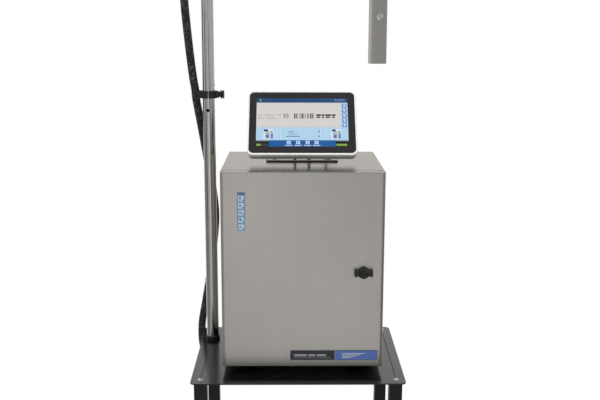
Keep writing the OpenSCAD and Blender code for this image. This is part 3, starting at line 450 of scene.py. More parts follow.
bottle_plastic("ink_bottle", level=0.838, dark=(0.03, 0.03, 0.035), clear=(0.70, 0.69, 0.64))
printed("printed_film")
printed("lit_panel", emission=0.93)
plastic("pale_tie", (0.55, 0.54, 0.48), rough=0.45)
plastic("tube_clear", (0.62, 0.63, 0.6), rough=0.22, bump=0.02, coat=0.4)
plastic("tube_blue", (0.02, 0.10, 0.38), rough=0.25, bump=0.02, coat=0.3)
plastic("tube_black", (0.01, 0.01, 0.01), rough=0.3, bump=0.02, coat=0.2)
plastic("tube_red", (0.35, 0.012, 0.01), rough=0.28, bump=0.02, coat=0.2)
plastic("cable_grey", (0.16, 0.16, 0.165), rough=0.4)

for name, ob in NODES.items():
    ob.data.materials.clear()
    ob.data.materials.append(MATERIALS["ink_bottle" if name == "ink_tank" else SLOT_OF[name]])


# ------------------------------------------------------------------ finish of the CAD pieces

EDGE_RADIUS = {  # radius: the pieces whose edges have it
    0.2: "nameplate ink_gutter",
    0.25: "back_panel partition_plate plate_bolts mast_tube arm_tube display_glass",
    0.3: "door_panel head_body head_cover mast_cap power_supply nozzle_block door_hinges "
         "charge_electrode deflector_plates",
    0.35: "cabinet_shell",
    0.4: "stand_legs stand_rails ink_pump valve_block power_inlet rocker_switch head_gland "
         "umbilical_gland latch_cam levelling_foot_fl levelling_foot_fr levelling_foot_bl "
         "levelling_foot_br mast_socket bracket_gasket",
    0.5: "stand_plate display_bracket fan_frame door_gasket",
    0.6: "hose_clamp stop_collar cabinet_feet",
    0.7: "head_clamp",
    0.8: "display_rear_shell cross_clamp",
    1.0: "ink_tank solvent_tank",
}


def edge_finish():
    """Geometry nodes that weld shared edges and shade by angle."""
    tree = bpy.data.node_groups.new("edge_finish", "GeometryNodeTree")
    tree.interface.new_socket("Geometry", in_out="INPUT", socket_type="NodeSocketGeometry")
    tree.interface.new_socket("Geometry", in_out="OUTPUT", socket_type="NodeSocketGeometry")
    source = add_node(tree, "NodeGroupInput")
    plain = add_node(tree, "GeometryNodeRemoveAttribute", {
        "Geometry": source.outputs[0], "Name": "custom_normal"})
    welded = add_node(tree, "GeometryNodeMergeByDistance", {
        "Geometry": plain.outputs["Geometry"], "Distance": 1e-5})
    smooth = add_node(tree, "GeometryNodeSetShadeSmooth", domain="FACE", inputs={
        "Geometry": welded.outputs["Geometry"], "Shade Smooth": True})
    angle = add_node(tree, "GeometryNodeInputMeshEdgeAngle")
    steep = add_node(tree, "ShaderNodeMath", operation="GREATER_THAN", inputs={
        0: angle.outputs["Unsigned Angle"], 1: rad(28)})
    sharp = add_node(tree, "GeometryNodeSetShadeSmooth", domain="EDGE", inputs={
        "Geometry": smooth.outputs["Geometry"], "Shade Smooth": False,
        "Selection": steep.outputs[0]})
    add_node(tree, "NodeGroupOutput", {0: sharp.outputs["Geometry"]})
    return tree


def finish_cad_pieces():
    finish = edge_finish()
    radius_of = {piece: r for r, pieces in EDGE_RADIUS.items() for piece in pieces.split()}
    for name, ob in NODES.items():
        ob.modifiers.new("finish", "NODES").node_group = finish
        if name in radius_of:
            bevel = ob.modifiers.new("edges", "BEVEL")
            bevel.width = radius_of[name] * MM
            bevel.segments = 2
            bevel.limit_method = "ANGLE"
            bevel.angle_limit = rad(32)
            bevel.harden_normals = True
            bevel.use_clamp_overlap = True


finish_cad_pieces()


# ------------------------------------------------------------------ flat outlines

def polar(radius, angle):
    return radius * math.cos(angle), radius * math.sin(angle)


def disc(x, y, radius, count):
    return shifted([polar(radius, 2 * math.pi * k / count) for k in range(count)], x, y)


def shifted(points, dx, dy):
    return [(x + dx, y + dy) for x, y in points]


def corners(x0, y0, x1, y1):
    return [(x0, y0), (x1, y0), (x1, y1), (x0, y1)]


def rounded_rect(width, height, radius, steps):
    """Anticlockwise outline about the origin, with steps segments to each corner."""
    points = []
    x, y = width / 2 - radius, height / 2 - radius
    for cx, cy, start in ((x, y, 0), (-x, y, 90), (-x, -y, 180), (x, -y, 270)):
        for k in range(steps + 1):
            dx, dy = polar(radius, rad(start + 90 * k / steps))
            points.append((cx + dx, cy + dy))
    return points


def inset(points, distance):
    """Moves a closed outline inwards along its corner normals."""
    longest = 1.6    # limit on how far a sharp corner moves, in distances
    moved = []
    for i, (x1, y1) in enumerate(points):
        (x0, y0), (x2, y2) = points[i - 1], points[(i + 1) % len(points)]
        before, after = Vector((x1 - x0, y1 - y0)), Vector((x2 - x1, y2 - y1))
        if before.length < 1e-9:
            before = after
        if after.length < 1e-9:
            after = before
        normal_a = Vector((-before.y, before.x)).normalized()
        normal_b = Vector((-after.y, after.x)).normalized()
        move = normal_a + normal_b
        move = move / max(move.length_squared, 1e-6) * 2 if move.length > 1e-6 else normal_a
        if move.length > longest:
            move = move.normalized() * longest
        moved.append((x1 + move.x * distance, y1 + move.y * distance))
    return moved


# ------------------------------------------------------------------ mesh helpers

def place(name, mesh, material, body):
    mesh.materials.append(material)
    ob = bpy.data.objects.new(name, mesh)
    SCENE.collection.objects.link(ob)
    if body:
        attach(ob, body)
    return ob


def build(name, geometry, look, body, sharp=32):
    """Smooth-shaded object from (verts, faces); look names its material."""
    verts, faces = geometry
    mesh = bpy.data.meshes.new(name)
    mesh.from_pydata([tuple(v) for v in verts], [], faces)
    mesh.validate()
    mesh.polygons.foreach_set("use_smooth", [True] * len(mesh.polygons))
    mesh.set_sharp_from_angle(angle=rad(sharp))
    mesh.update()
    return place(name, mesh, MATERIALS[look], body)


def ring(at, points, z):
    return [at @ mm(x, y, z) for x, y in points]


def loft(rings, start_cap=True, end_cap=True, closed=False):
    """Verts and faces through rings of equal length; a ring of one vertex makes a point."""
    verts, faces, starts = [], [], []
    for r in rings:
        starts.append(len(verts))
        verts += r
    for i in range(len(rings) if closed else len(rings) - 1):
        j = (i + 1) % len(rings)
        a, b = starts[i], starts[j]
        count_a, count_b = len(rings[i]), len(rings[j])
        count = max(count_a, count_b)
        for k in range(count):
            k2 = (k + 1) % count
            if count_a == 1:
                faces.append((a, b + k2, b + k))
            elif count_b == 1:
                faces.append((a + k, a + k2, b))
            else:
                faces.append((a + k, a + k2, b + k2, b + k))
    if start_cap and not closed and len(rings[0]) > 1:
        faces.append(tuple(reversed(range(len(rings[0])))))
    if end_cap and not closed and len(rings[-1]) > 1:
        faces.append(tuple(starts[-1] + k for k in range(len(rings[-1]))))
    return verts, faces


def turned(name, profile, at, look, body="root", segs=64, shape=lambda angle, z: 1.0, sharp=32):
    """Turned piece from (radius, height) pairs; shape scales the radius.

    A profile that ends where it starts makes a closed ring.
    """
    angles = [2 * math.pi * k / segs for k in range(segs)]
    rings = []
    for radius, z in profile:
        points = [polar(radius * shape(a, z), a) for a in angles] if radius > 0 else [(0, 0)]
        rings.append(ring(at, points, z))
    closed = profile[0] == profile[-1]
    geometry = loft(rings[:-1] if closed else rings, closed=closed)
    return build(name, geometry, look, body, sharp)


def knurl(count, depth, low, high):
    """Straight grooves between two heights."""
    return lambda angle, z: (1 - depth * (0.5 + 0.5 * math.cos(count * angle))
                             if low < z < high else 1.0)


def slab(name, outline, z0, z1, at, look, body="root", *, radius, steps, back):
    """Solid from an outline: front edge rounded by radius, back edge chamfered by back."""
    rings = [ring(at, inset(outline, back), z0), ring(at, outline, z0 + back)]
    for k in range(steps + 1):
        a = math.pi / 2 * k / steps
        rings.append(ring(at, inset(outline, radius * (1 - math.cos(a))),
                          z1 - radius + radius * math.sin(a)))
    return build(name, loft(rings), look, body, 30)


def smooth_path(points, count):
    """Catmull-Rom curve with count points to each stretch."""
    curve = []
    for i in range(len(points) - 1):
        a, b, c = points[max(i - 1, 0)], points[i], points[i + 1]
        d = points[min(i + 2, len(points) - 1)]
        for k in range(count):
            t = k / count
            curve.append(0.5 * ((2 * b) + (c - a) * t + (2 * a - 5 * b + 4 * c - d) * t * t
                                + (3 * b - a - 3 * c + d) * t ** 3))
    curve.append(points[-1].copy())
    return curve


def resample(path, step):
    """The path at even spacing near step (metres), and the spacing itself."""
    lengths = [0.0]
    for a, b in zip(path, path[1:]):
        lengths.append(lengths[-1] + (b - a).length)
    count = max(2, int(round(lengths[-1] / step)))
    points, j = [], 0
    for i in range(count + 1):
        s = lengths[-1] * i / count
        while j < len(lengths) - 2 and lengths[j + 1] < s:
            j += 1
        t = (s - lengths[j]) / max(lengths[j + 1] - lengths[j], 1e-9)
        points.append(path[j].lerp(path[j + 1], t))
    return points, lengths[-1] / count


def carry(path):
    """Frames along a path that don't spin: (point, side, up) for each point."""
    frames, side = [], None
    for i, p in enumerate(path):
        t = (path[min(i + 1, len(path) - 1)] - path[max(i - 1, 0)]).normalized()
        if side is None:
            side = t.cross(Vector((0, 1, 0)) if abs(t.y) < 0.9 else Vector((1, 0, 0))).normalized()
        side = (side - t * side.dot(t)).normalized()
        frames.append((p, side, t.cross(side)))
    return frames


def sweep(name, frames, radius, segs, look, body, start_cap=True, end_cap=True):
    """Tube along frames; radius (metres) is a function of the angle and the frame's index."""
    rings = []
    for i, (p, side, up) in enumerate(frames):
        turns = [(a, radius(a, i)) for a in (2 * math.pi * k / segs for k in range(segs))]
        rings.append([p + side * (r * math.cos(a)) + up * (r * math.sin(a)) for a, r in turns])
    return build(name, loft(rings, start_cap, end_cap), look, body, 60)


def cable(name, points, radius, look, to_world=mm, body="root", segs=12, smooth=8, step=0.004):
    """Round cable; to_world turns the points into metres, step is in metres."""
    path, _ = resample(smooth_path([to_world(*p) for p in points], smooth), step)
    return sweep(name, carry(path), lambda a, i: radius * MM, segs, look, body)


# ------------------------------------------------------------------ hand knobs

KNOB_R, KNOB_NECK, KNOB_TOP = 16, 6, 19    # grip radius, heights of its underside and face
KNOB_ROUND, KNOB_DISH = 2.6, 1.2           # edge rounding, depth of the dished face
STUD_R, THREAD_STEP = 4, 0.6
KNOB_GAP = 0.2


def grip_profile():
    core = KNOB_R - KNOB_ROUND
    profile = [(core, KNOB_NECK)]
    for k in range(1, 6):
        dx, dz = polar(KNOB_ROUND, math.pi / 2 * k / 5)
        profile.append((core + dz, KNOB_NECK + KNOB_ROUND - dx))
    profile.append((KNOB_R + 0.15, (KNOB_NECK + KNOB_TOP) / 2))
    for k in range(6):
        dx, dz = polar(KNOB_ROUND, math.pi / 2 * k / 5)
        profile.append((core + dx, KNOB_TOP - KNOB_ROUND + dz))
    floor_z = KNOB_TOP - KNOB_DISH
    return profile + [(KNOB_R * 0.62, KNOB_TOP), (KNOB_R * 0.56, KNOB_TOP - KNOB_DISH * 0.35),
                      (KNOB_R * 0.5, floor_z), (0, floor_z)]


def six_lobes(angle, z):
    return 1 - 0.10 * (0.5 - 0.5 * math.cos(6 * angle))


def hand_knob(node, origin, axis, body, stud_length):
    """Lobed grip on a steel neck with a threaded stud."""
    at = frame_at(origin, axis, REACH)
    grip = turned(node + "_grip", grip_profile(), at, SLOT_OF[node], body, 96, six_lobes, 40)
    neck = [(STUD_R, -0.01), (8.4, 0), (9, 0.6), (9, 5.4), (9.5, 6.2), (STUD_R, 6.2)]
    turned(node + "_neck", neck, at, "bright_steel", body, 48)
    z, crest = -stud_length + THREAD_STEP, True
    stud = [(STUD_R - 0.6, -stud_length), (STUD_R, z)]
    while z < -THREAD_STEP:
        z += THREAD_STEP
        crest = not crest
        stud.append((STUD_R if crest else STUD_R - 0.45, z))
    stud.append((STUD_R - 0.3, 0.4))
    turned(node + "_stud", stud, at, "bright_steel", body, 32)
    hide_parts(node)


# the outer faces of the two clamps: middle of the clamp, then half its depth
cross_clamp_face = ARM_ACROSS / 2 - 0.5 - (ARM_ACROSS + 41) / 2
head_clamp_face = ((HEAD_ACROSS + ARM_ACROSS) / 2 - 3
                   + (ARM_ACROSS - HEAD_ACROSS + 46) / 2)
hand_knob("mast_clamp_knob", arm_point(0, cross_clamp_face - KNOB_GAP, ARM_Z),
          -ACROSS, "mast_knob", stud_length=5.5)
hand_knob("arm_clamp_knob", arm_point(0, ARM_ACROSS, ARM_Z + 22), UP, "arm_knob", stud_length=8.5)
hand_knob("head_clamp_knob", arm_point(HEAD_REACH, head_clamp_face + KNOB_GAP, ARM_Z),
          ACROSS, "head_knob", stud_length=7)


def hose_clamp_knob():
    """Waisted spool with straight knurls, pointing right."""
    _, y, z = middle("hose_clamp_knob")
    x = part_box("hose_clamp_knob")[1].x / MM - 12.5
    at = frame_at((x * MM, y, z), (1, 0, 0), (0, 1, 0))
    spool = [(3, -0.02), (6.2, 0), (6.5, 0.4), (6.5, 3.3), (8.4, 3.5), (10.4, 3.7), (10.9, 4.3),
             (10.9, 5.2), (10.2, 6.0), (9.0, 6.9), (8.7, 8.0), (9.0, 9.1), (10.2, 10.0),
             (10.9, 10.8), (10.9, 11.7), (10.4, 12.3), (7.2, 12.5), (6.6, 12.0), (0, 11.8)]
    knob = turned("hose_clamp_spool", spool, at, SLOT_OF["hose_clamp_knob"], "hose_knob", 120,
                  knurl(20, depth=0.025, low=3.4, high=12.4), 40)
    turned("hose_clamp_screw", [(2.4, -9), (3, -8.4), (3, -4), (3, 0.3)], at,
           "bright_steel", "hose_knob", 32)
    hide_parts("hose_clamp_knob")


def cover_screw():
    """Thumb screw of the head cover: knurled head with a domed face."""
    z = middle("cover_screw")[2] / MM
    at = frame_at(arm_point(HEAD_REACH, HEAD_ACROSS - 19.5 - KNOB_GAP, z), -ACROSS, REACH)
    head = [(3, -0.02), (8.4, 0), (8.9, 0.5), (8.9, 3.9), (8.5, 4.5), (7.6, 4.9), (6.8, 5.1),
            (4.5, 5.45), (0, 5.6)]
    screw = turned("cover_screw_head", head, at, "bright_steel", "cover_thumbscrew", 144,
                   knurl(30, depth=0.035, low=0.4, high=4.0), 36)
    turned("cover_screw_shank", [(2.4, -11), (3, -10.4), (3, 0.3)], at,
           "bright_steel", "cover_thumbscrew", 32)
    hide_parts("cover_screw")


hose_clamp_knob()
cover_screw()


# ------------------------------------------------------------------ latch knob

def wing_outline():
    """Boss circle with a flared wing on each side."""
    flare = [(10.4, 6.4), (12.5, 6.7), (15.5, 7.4), (18, 8.2), (19.8, 8.4), (20.8, 7.2), (21, 4.8)]
    wing = [(x, -y) for x, y in flare] + [(21, 0)] + flare[::-1]
    points = []
    for sign, turn in ((1, 0), (-1, 180)):
        points += [(sign * x, sign * y) for x, y in wing]
        points += [polar(12.0, rad(a + turn)) for a in range(42, 139, 12)]
    return points


def latch_knob():
    x, _, z = middle("latch_knob")
    at = frame_at(mm(x / MM, FRONT_Y, z / MM), FORWARD)
    look = SLOT_OF["latch_knob"]
    base = [(6, 0.2), (13.4, 0.25), (14, 0.7), (14, 2.4), (13.4, 3.3), (12.4, 3.9), (11.6, 4.1),
            (6, 4.1)]
    escutcheon = turned("latch_escutcheon", base, at, look, "latch", 72)
    slab("latch_wing", wing_outline(), 3.6, 12.2, at, look, "latch",
         radius=1.7, steps=5, back=0.5)
    boss = [(6, 3), (11.6, 3.2), (11.6, 13.2), (11.2, 14.4), (10.2, 15.4), (8.9, 16.0),
            (8.1, 15.8), (7.7, 15.2), (7.2, 14.8), (0, 14.6)]
    turned("latch_boss", boss, at, look, "latch", 72, sharp=34)
    for side, tag in ((1, "a"), (-1, "b")):
        slab(f"latch_ridge_{tag}", rounded_rect(6.8, 3.6, 1.4, 5), -0.4, 1.4,
             at @ Matrix.Translation(mm(side * 16.4, 0, 12.1)), look, "latch",
             radius=0.9, steps=4, back=0.1)
    barrel = [(6.3, 14.2), (6.5, 14.9), (6.3, 15.2), (5.8, 15.4), (0, 15.4)]
    turned("latch_key_barrel", barrel, at, "black_plastic", "latch", 48)
    slab("latch_key_slot", rounded_rect(1.4, 7.4, 0.5, 4), 15.1, 15.52, at, "clamp_black", "latch",
         radius=0.1, steps=2, back=0.05)
    turned("latch_shaft", [(5.2, -26.5), (6, -26), (6, 0.4)], at, "bright_steel", "latch", 48)
    slab("latch_square", rounded_rect(7, 7, 0.6, 4), -32, -26, at, "bright_steel", "latch",
         radius=0.3, steps=3, back=0.4)
    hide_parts("latch_knob")


latch_knob()

# ------------------------------------------------------------------ display

# the display's frame: origin in the middle of its lower edge, Y up its face, Z out of it
DISPLAY = (Matrix.Translation(mm(DISPLAY_X, FRONT_Y + 98, TOP_Z + 24.4))
           @ Matrix.Rotation(rad(DISPLAY_TILT), 4, "X"))
OPENING_SHIFT = 0.8    # the opening sits this much above the middle, so the chin is deeper


def display_rim():
    lip, round_r = 3.55, 1.3
    # (inset from the outer edge, height)
    profile = [(1.0, -7.95), (0.3, -7.6), (0.0, -6.9), (0.0, -round_r)]
    for k in range(1, 7):
        dx, dz = polar(round_r, math.pi / 2 * k / 6)
        profile.append((round_r - dx, dz - round_r))
    profile += [(3.3, -0.02), (3.48, -0.12), (lip, -0.4), (lip, -2.45), (8.5, -2.45), (8.5, -7.95)]
    middle_at = DISPLAY @ Matrix.Translation((0, DISPLAY_H / 2 * MM, 0))
    rings = []
    for gap, z in profile:
        inward = min(1.0, gap / lip)
        radius = 6 if gap > lip else 14 - 3 * inward
        outline = rounded_rect(DISPLAY_W - 2 * gap, DISPLAY_H - 2 * (gap + inward), radius, 10)
        rings.append(ring(middle_at, shifted(outline, 0, OPENING_SHIFT * inward), z))
    rim = build("display_bezel_ring", loft(rings, closed=True), "rim_white", "display", 40)
    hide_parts("display_rim")


def panel(name, shapes, at, material, body, z0, step=0.03):
    """Printed shapes (layer, sRGB colour, anticlockwise outline) as thin tiles in one mesh."""
    verts, faces, colours = [], [], []
    for layer, colour, points in shapes:
        z = z0 + step * layer
        n, a = len(points), len(verts)
        verts += ring(at, points, z) + ring(at, points, z - 0.02)
        faces += [tuple(range(a, a + n)), tuple(reversed(range(a + n, a + 2 * n)))]
        for k in range(n):
            k2 = (k + 1) % n
            faces.append((a + k2, a + k, a + n + k, a + n + k2))
        colours += [linear(*colour)] * (n + 2)
    mesh = bpy.data.meshes.new(name)
    mesh.from_pydata([tuple(v) for v in verts], [], faces)
    tint = mesh.color_attributes.new(name="tint", type="FLOAT_COLOR", domain="CORNER")
    for polygon, colour in zip(mesh.polygons, colours):
        for loop in polygon.loop_indices:
            tint.data[loop].color = colour
    place(name, mesh, MATERIALS[material], body)


# The screen's picture. Tile places are fractions of the lit area, from its top left corner.
SCREEN_W, SCREEN_H = 217.0, 136.0
GREY, PALE, DARK_TEXT = (217, 214, 212), (180, 214, 240), (70, 70, 74)
TITLE_BLUE, BAR_BLUE, ICON_BLUE = (30, 74, 120), (30, 92, 160), (66, 118, 196)
ICON_WHITE, ICON_PALE = (228, 238, 250), (112, 164, 226)


def tile(layer, colour, left, top, right, bottom, radius=0.0):
    """Rectangle on the screen; the corner radius is in mm."""
    x0, x1 = (left - 0.5) * SCREEN_W, (right - 0.5) * SCREEN_W
    y0, y1 = (0.5 - bottom) * SCREEN_H, (0.5 - top) * SCREEN_H
    if radius <= 0:
        return layer, colour, corners(x0, y0, x1, y1)
    return layer, colour, shifted(rounded_rect(x1 - x0, y1 - y0, radius, 4),
                                  (x0 + x1) / 2, (y0 + y1) / 2)


def dot(layer, colour, u, v, radius):
    return layer, colour, disc((u - 0.5) * SCREEN_W, (0.5 - v) * SCREEN_H, radius, 20)


def title_bar():
    yield tile(0, GREY, 0, 0, 1, 1)
    yield tile(1, TITLE_BLUE, 0, 0, 1, 0.092)
    yield tile(2, (30, 66, 120), 0, 0.078, 1, 0.092)
    yield tile(2, (34, 84, 88), 0.012, 0.008, 0.058, 0.074, 0.8)
    yield tile(3, (196, 204, 92), 0.038, 0.018, 0.046, 0.064, 0.3)
    for k in range(4):
        yield tile(2, (128, 150, 186), 0.858 + 0.030 * k, 0.020, 0.880 + 0.030 * k, 0.040, 0.3)
        yield tile(2, (96, 118, 160), 0.870 + 0.028 * k, 0.052, 0.888 + 0.028 * k, 0.068, 0.3)


def message_preview():
    """Faint character blocks, a matrix block, bars, and dark blocks for the rest."""
    for row, v in enumerate((0.335, 0.398)):
        for k in range(10 - row):
            if (k * 7 + row * 3) % 5 != 4:
                left = 0.016 + 0.026 * k
                yield tile(1, (190, 188, 186), left, v, left + 0.018, v + 0.040, 0.4)
    for i in range(8):
        for j in range(8):
            if i == 0 or j == 7 or (i * 5 + j * 3 + i * j) % 4 < 2:
                left, top = 0.296 + 0.0078 * i, 0.315 + 0.0125 * j
                yield tile(1, (112, 110, 108), left, top, left + 0.006, top + 0.010)
    x, unit = 0.412, 0.0046
    bar_widths = (3, 1, 2, 1, 1, 3, 1, 2, 2, 1, 3, 1, 1, 2, 1, 3, 2, 1, 1, 2, 3, 1, 2, 1, 1, 3)
    for k, width in enumerate(bar_widths):
        if k % 2 == 0:
            yield tile(1, DARK_TEXT, x, 0.318, x + unit * width, 0.425)
        x += unit * width * (1.0 if k % 2 == 0 else 1.25)
    for u, width in ((0.655, 0.052), (0.716, 0.030), (0.755, 0.062), (0.826, 0.040)):
        yield tile(1, (52, 52, 54), u, 0.335, u + width, 0.372, 0.5)
        yield tile(1, (60, 60, 62), u, 0.384, u + width * 0.8, 0.412, 0.5)
    yield tile(1, (200, 197, 194), 0.0, 0.590, 0.925, 0.598)


def right_buttons():
    yield tile(1, PALE, 0.925, 0.092, 1.0, 0.61)
    for k, v in enumerate((0.156, 0.259, 0.363, 0.462, 0.561)):
        yield tile(2, ICON_BLUE, 0.938, v - 0.040, 0.988, v + 0.040, 1.8)
        yield tile(3, ICON_WHITE, 0.948, v - 0.024, 0.978, v + 0.006, 0.6)
        yield tile(3, ICON_WHITE, 0.952 + 0.004 * (k % 2), v + 0.014, 0.974, v + 0.026, 0.4)


def supply_band():
    """Dividers, readings and the two supply pictures."""
    yield tile(1, PALE, 0.0, 0.605, 1.0, 0.870)
    for u in (0.222, 0.262, 0.700, 0.754):
        yield tile(2, (204, 228, 246), u, 0.612, u + 0.007, 0.864)
    strong, weak = (104, 140, 178), (150, 186, 216)
    for colour, u, v, width in ((strong, 0.350, 0.690, 0.062), (strong, 0.324, 0.782, 0.150),
                                (weak, 0.350, 0.736, 0.10)):
        yield tile(2, colour, u, v, u + width, v + 0.020, 0.5)
    for v in (0.690, 0.786):
        yield tile(2, (120, 164, 150), 0.672, v - 0.018, 0.690, v + 0.022, 0.8)
    for u, cap_shift in ((0.078, 0.004), (0.812, 0.010)):
        yield tile(2, (224, 232, 240), u, 0.640, u + 0.112, 0.850, 1.2)
        yield tile(3, (30, 62, 124), u + cap_shift, 0.648, u + 0.052, 0.690, 0.6)
        yield tile(3, (176, 186, 198), u + 0.020, 0.690, u + 0.070, 0.835, 1.6)
        yield tile(4, (92, 120, 158), u + 0.030, 0.760, u + 0.060, 0.826, 1.0)
        yield tile(3, (86, 136, 196), u + 0.080, 0.730, u + 0.106, 0.842, 1.0)
        yield dot(4, (150, 170, 150), u + 0.090, 0.700, 3.2)


def bottom_bar():
    """Four buttons with captions, and a status block in each corner."""
    yield tile(1, BAR_BLUE, 0.0, 0.870, 1.0, 1.0)
    for k, u in enumerate((0.355, 0.455, 0.557, 0.654)):
        yield tile(2, (214, 230, 250), u - 0.021, 0.884, u + 0.021, 0.948, 1.6)
        if k % 2:
            yield dot(3, ICON_PALE, u, 0.915, 2.6)
        else:
            yield tile(3, ICON_PALE, u - 0.012, 0.902, u + 0.012, 0.936, 0.8)
        yield tile(2, (190, 210, 236), u - 0.040, 0.966, u + 0.038, 0.984, 0.5)
    for left, right, segments in ((0.0, 0.140, 3), (0.862, 1.0, 7)):
        yield tile(2, (120, 126, 132), left, 0.870, right, 0.893)
        yield tile(2, (14, 14, 14), left, 0.893, right, 1.0)
        yield tile(3, (58, 62, 52), left + 0.004, 0.935, right - 0.004, 0.990, 0.6)
        for k in range(segments):
            u = left + 0.0165 * k
            yield tile(4, (140, 186, 74), u + 0.006, 0.942, u + 0.019, 0.984, 0.5)


display_rim()
panel("screen_picture",
      [*title_bar(), *message_preview(), *right_buttons(), *supply_band(), *bottom_bar()],
      DISPLAY @ Matrix.Translation((0, (DISPLAY_H / 2 + OPENING_SHIFT) * MM, 0)),
      "lit_panel", "display", z0=-0.27, step=0.012)
turned("display_sensor", [(1.5, -0.28), (1.4, -0.22), (0, -0.2)],
       DISPLAY @ Matrix.Translation((0, (DISPLAY_H - 7.6) * MM, 0)), "gloss_black", "display", 24)


# ------------------------------------------------------------------ prints on the door

def front_face(name):
    """Frame in the middle of a piece's front face, with the face's width and height."""
    lo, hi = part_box(name)
    x, _, z = middle(name)
    return frame_at((x, lo.y, z), FORWARD), (hi.x - lo.x) / MM, (hi.z - lo.z) / MM


def pictograms():
    """Bottle, drop, two plates, funnel and ring, each as shapes about its tile's middle."""
    ink = (96, 140, 190)
    drop = []
    for a in range(0, 360, 20):
        c, s = math.cos(rad(a)), math.sin(rad(a))
        pinch, length = (1, 2.4) if s < 0 else (1 - s * 0.98, 4.6)
        drop.append((-2.4 + 2.4 * c * pinch, 0.4 + length * s))
    funnel = [(-5.4, 4.0), (-5.4, 2.6), (-2.4, -2.8), (-1.6, -2.8), (1.4, 2.6), (1.4, 4.0)]
    plate = rounded_rect(7.2, 1.8, 0.4, 3)
    return [
        [(3, ink, shifted(rounded_rect(4.2, 7.4, 1.0, 4), -2.6, 1)),
         (4, (176, 208, 236), shifted(rounded_rect(2.6, 3.6, 0.6, 3), -2.6, 0))],
        [(3, ink, drop)],
        [(3, ink, shifted(plate, -2.0, 2.6)), (3, ink, shifted(plate, -2.0, -0.6))],
        [(3, ink, funnel)],
        [(3, ink, shifted(rounded_rect(5.4, 5.6, 2.6, 5), -2.4, 0.6)),
         (4, (196, 224, 246), shifted(rounded_rect(2.6, 2.8, 1.2, 5), -2.4, 0.6))],
    ]


def label_print():
    """Blue strip with a header and five pictogram tiles."""
    at, width, height = front_face("icon_label")
    tile_h, pitch, header_h = 14.6, 16.3, 7.0
    shapes = [(0, (86, 132, 190), rounded_rect(width - 0.6, height - 0.6, 1.3, 4)),
              (1, (78, 118, 176), corners(-width / 2 + 1.2, height / 2 - 6.4,
                                          width / 2 - 1.2, height / 2 - 1.0))]
    for k, pictogram in enumerate(pictograms()):
        y = height / 2 - header_h - tile_h / 2 - pitch * k
        shapes += [
            (1, (174, 222, 250), shifted(rounded_rect(width - 3.0, tile_h, 0.8, 3), 0, y)),
            (2, (212, 236, 252), shifted(rounded_rect(width - 5.4, tile_h - 3.4, 1.6, 4),
                                         -0.6, y + 0.9))]
        shapes += [(layer, colour, shifted(pts, 0, y)) for layer, colour, pts in pictogram]
        shapes.append((4, (30, 58, 66), disc(4.4, y - 3.6, 1.55, 15)))
    panel("label_print", shapes, at, "printed_film", "door", z0=0.03)


def nameplate_print():
    """Dark field with plain blocks over a line, blue field with stepped stripes."""
    at, width, height = front_face("nameplate")
    left, top, split = -width / 2, height / 2, 3.2
    right = width / 2 - 1.4
    shapes = [
        (0, (150, 156, 172), rounded_rect(width - 0.5, height - 0.5, 2.7, 5)),
        (1, (26, 26, 32), rounded_rect(width - 1.8, height - 1.8, 2.1, 5)),
        (2, (88, 126, 214), [(split, 1.4 - top), (right - 1.6, 1.4 - top), (right, 3.0 - top),
                             (right, top - 3.0), (right - 1.6, top - 1.4), (split, top - 1.4)]),
        (3, (170, 178, 196), corners(split - 1.4, 1.2 - top, split - 0.2, top - 1.2))]
    for x, block_w in ((9, 30), (42, 16), (61, 22)):
        shapes.append((3, (176, 180, 192), corners(left + x, -2.2, left + x + block_w, 2.6)))
    shapes.append((3, (150, 156, 172), corners(left + 9, -6.2, split - 10, -5.2)))
    start = split + 16
    for k in range(4):
        end, y = start + 54 - 11 * k, 5.2 - 3.4 * k
        shapes.append((3, (222, 228, 240), [(start, y - 1.8), (end - 1.6, y - 1.8),
                                            (end, y), (start, y)]))
    panel("nameplate_print", shapes, at, "printed_film", "door", z0=0.03)


label_print()
nameplate_print()

# ------------------------------------------------------------------ umbilical: braided hose

HOSE_R = 10.0 * MM
STRANDS, BRAID_PITCH = 9, 0.0085    # strands each way round, pitch along in metres
HOSE_SEGS = 36

gland_x, gland_z = (middle("umbilical_gland")[i] / MM for i in (0, 2))
clamp_z = middle("hose_clamp")[2] / MM
clamp_x, clamp_y = MAST_X - 31, MAST_Y + 4

# stretches of the hose's path from the cabinet to the head: where the points are measured
# from, then the points
HOSE_PATH = [
    (near(gland_x, BACK_Y, gland_z), [
        (0, 8, 0), (0, 34, -5), (-6, 68, -36), (-28, 86, -110), (-66, 84, -168), (-108, 66, -178),
        (-136, 46, -128), (-139, 32, -58), (-127, 22, 14), (-114, 6, 84), (-106, -14, 146)]),
    (near(MAST_X, MAST_Y, gland_z), [
        (3, 40, 200), (8.5, 34, 270), (2, 31, 345), (-10, 28, 420), (-22, 18, 500)]),
    (near(clamp_x, clamp_y, clamp_z), [
        (0, 0, -12), (-2, -1, 12), (-8, -2, 53), (-17, -2, 140), (-23.5, -6, 226),
        (-26, -15, 310)]),
    (near(clamp_x, clamp_y, HEAD_TOP), [(-14, -27, 52), (33, -33, 86)]),
    # (along the arm, above the head), over the arm and down into the head
    (lambda along, above: arm_point(along, HEAD_ACROSS, HEAD_TOP + above), [
        (100, 98), (210, 102), (310, 98), (HEAD_REACH - 48, 84), (HEAD_REACH - 10, 54),
        (HEAD_REACH, 24), (HEAD_REACH, 6)]),
]
hose_path, HOSE_STEP = resample(
    smooth_path([to_world(*p) for to_world, points in HOSE_PATH for p in points], 12), 0.0021)
HOSE = carry(hose_path)
LAST = len(HOSE) - 1


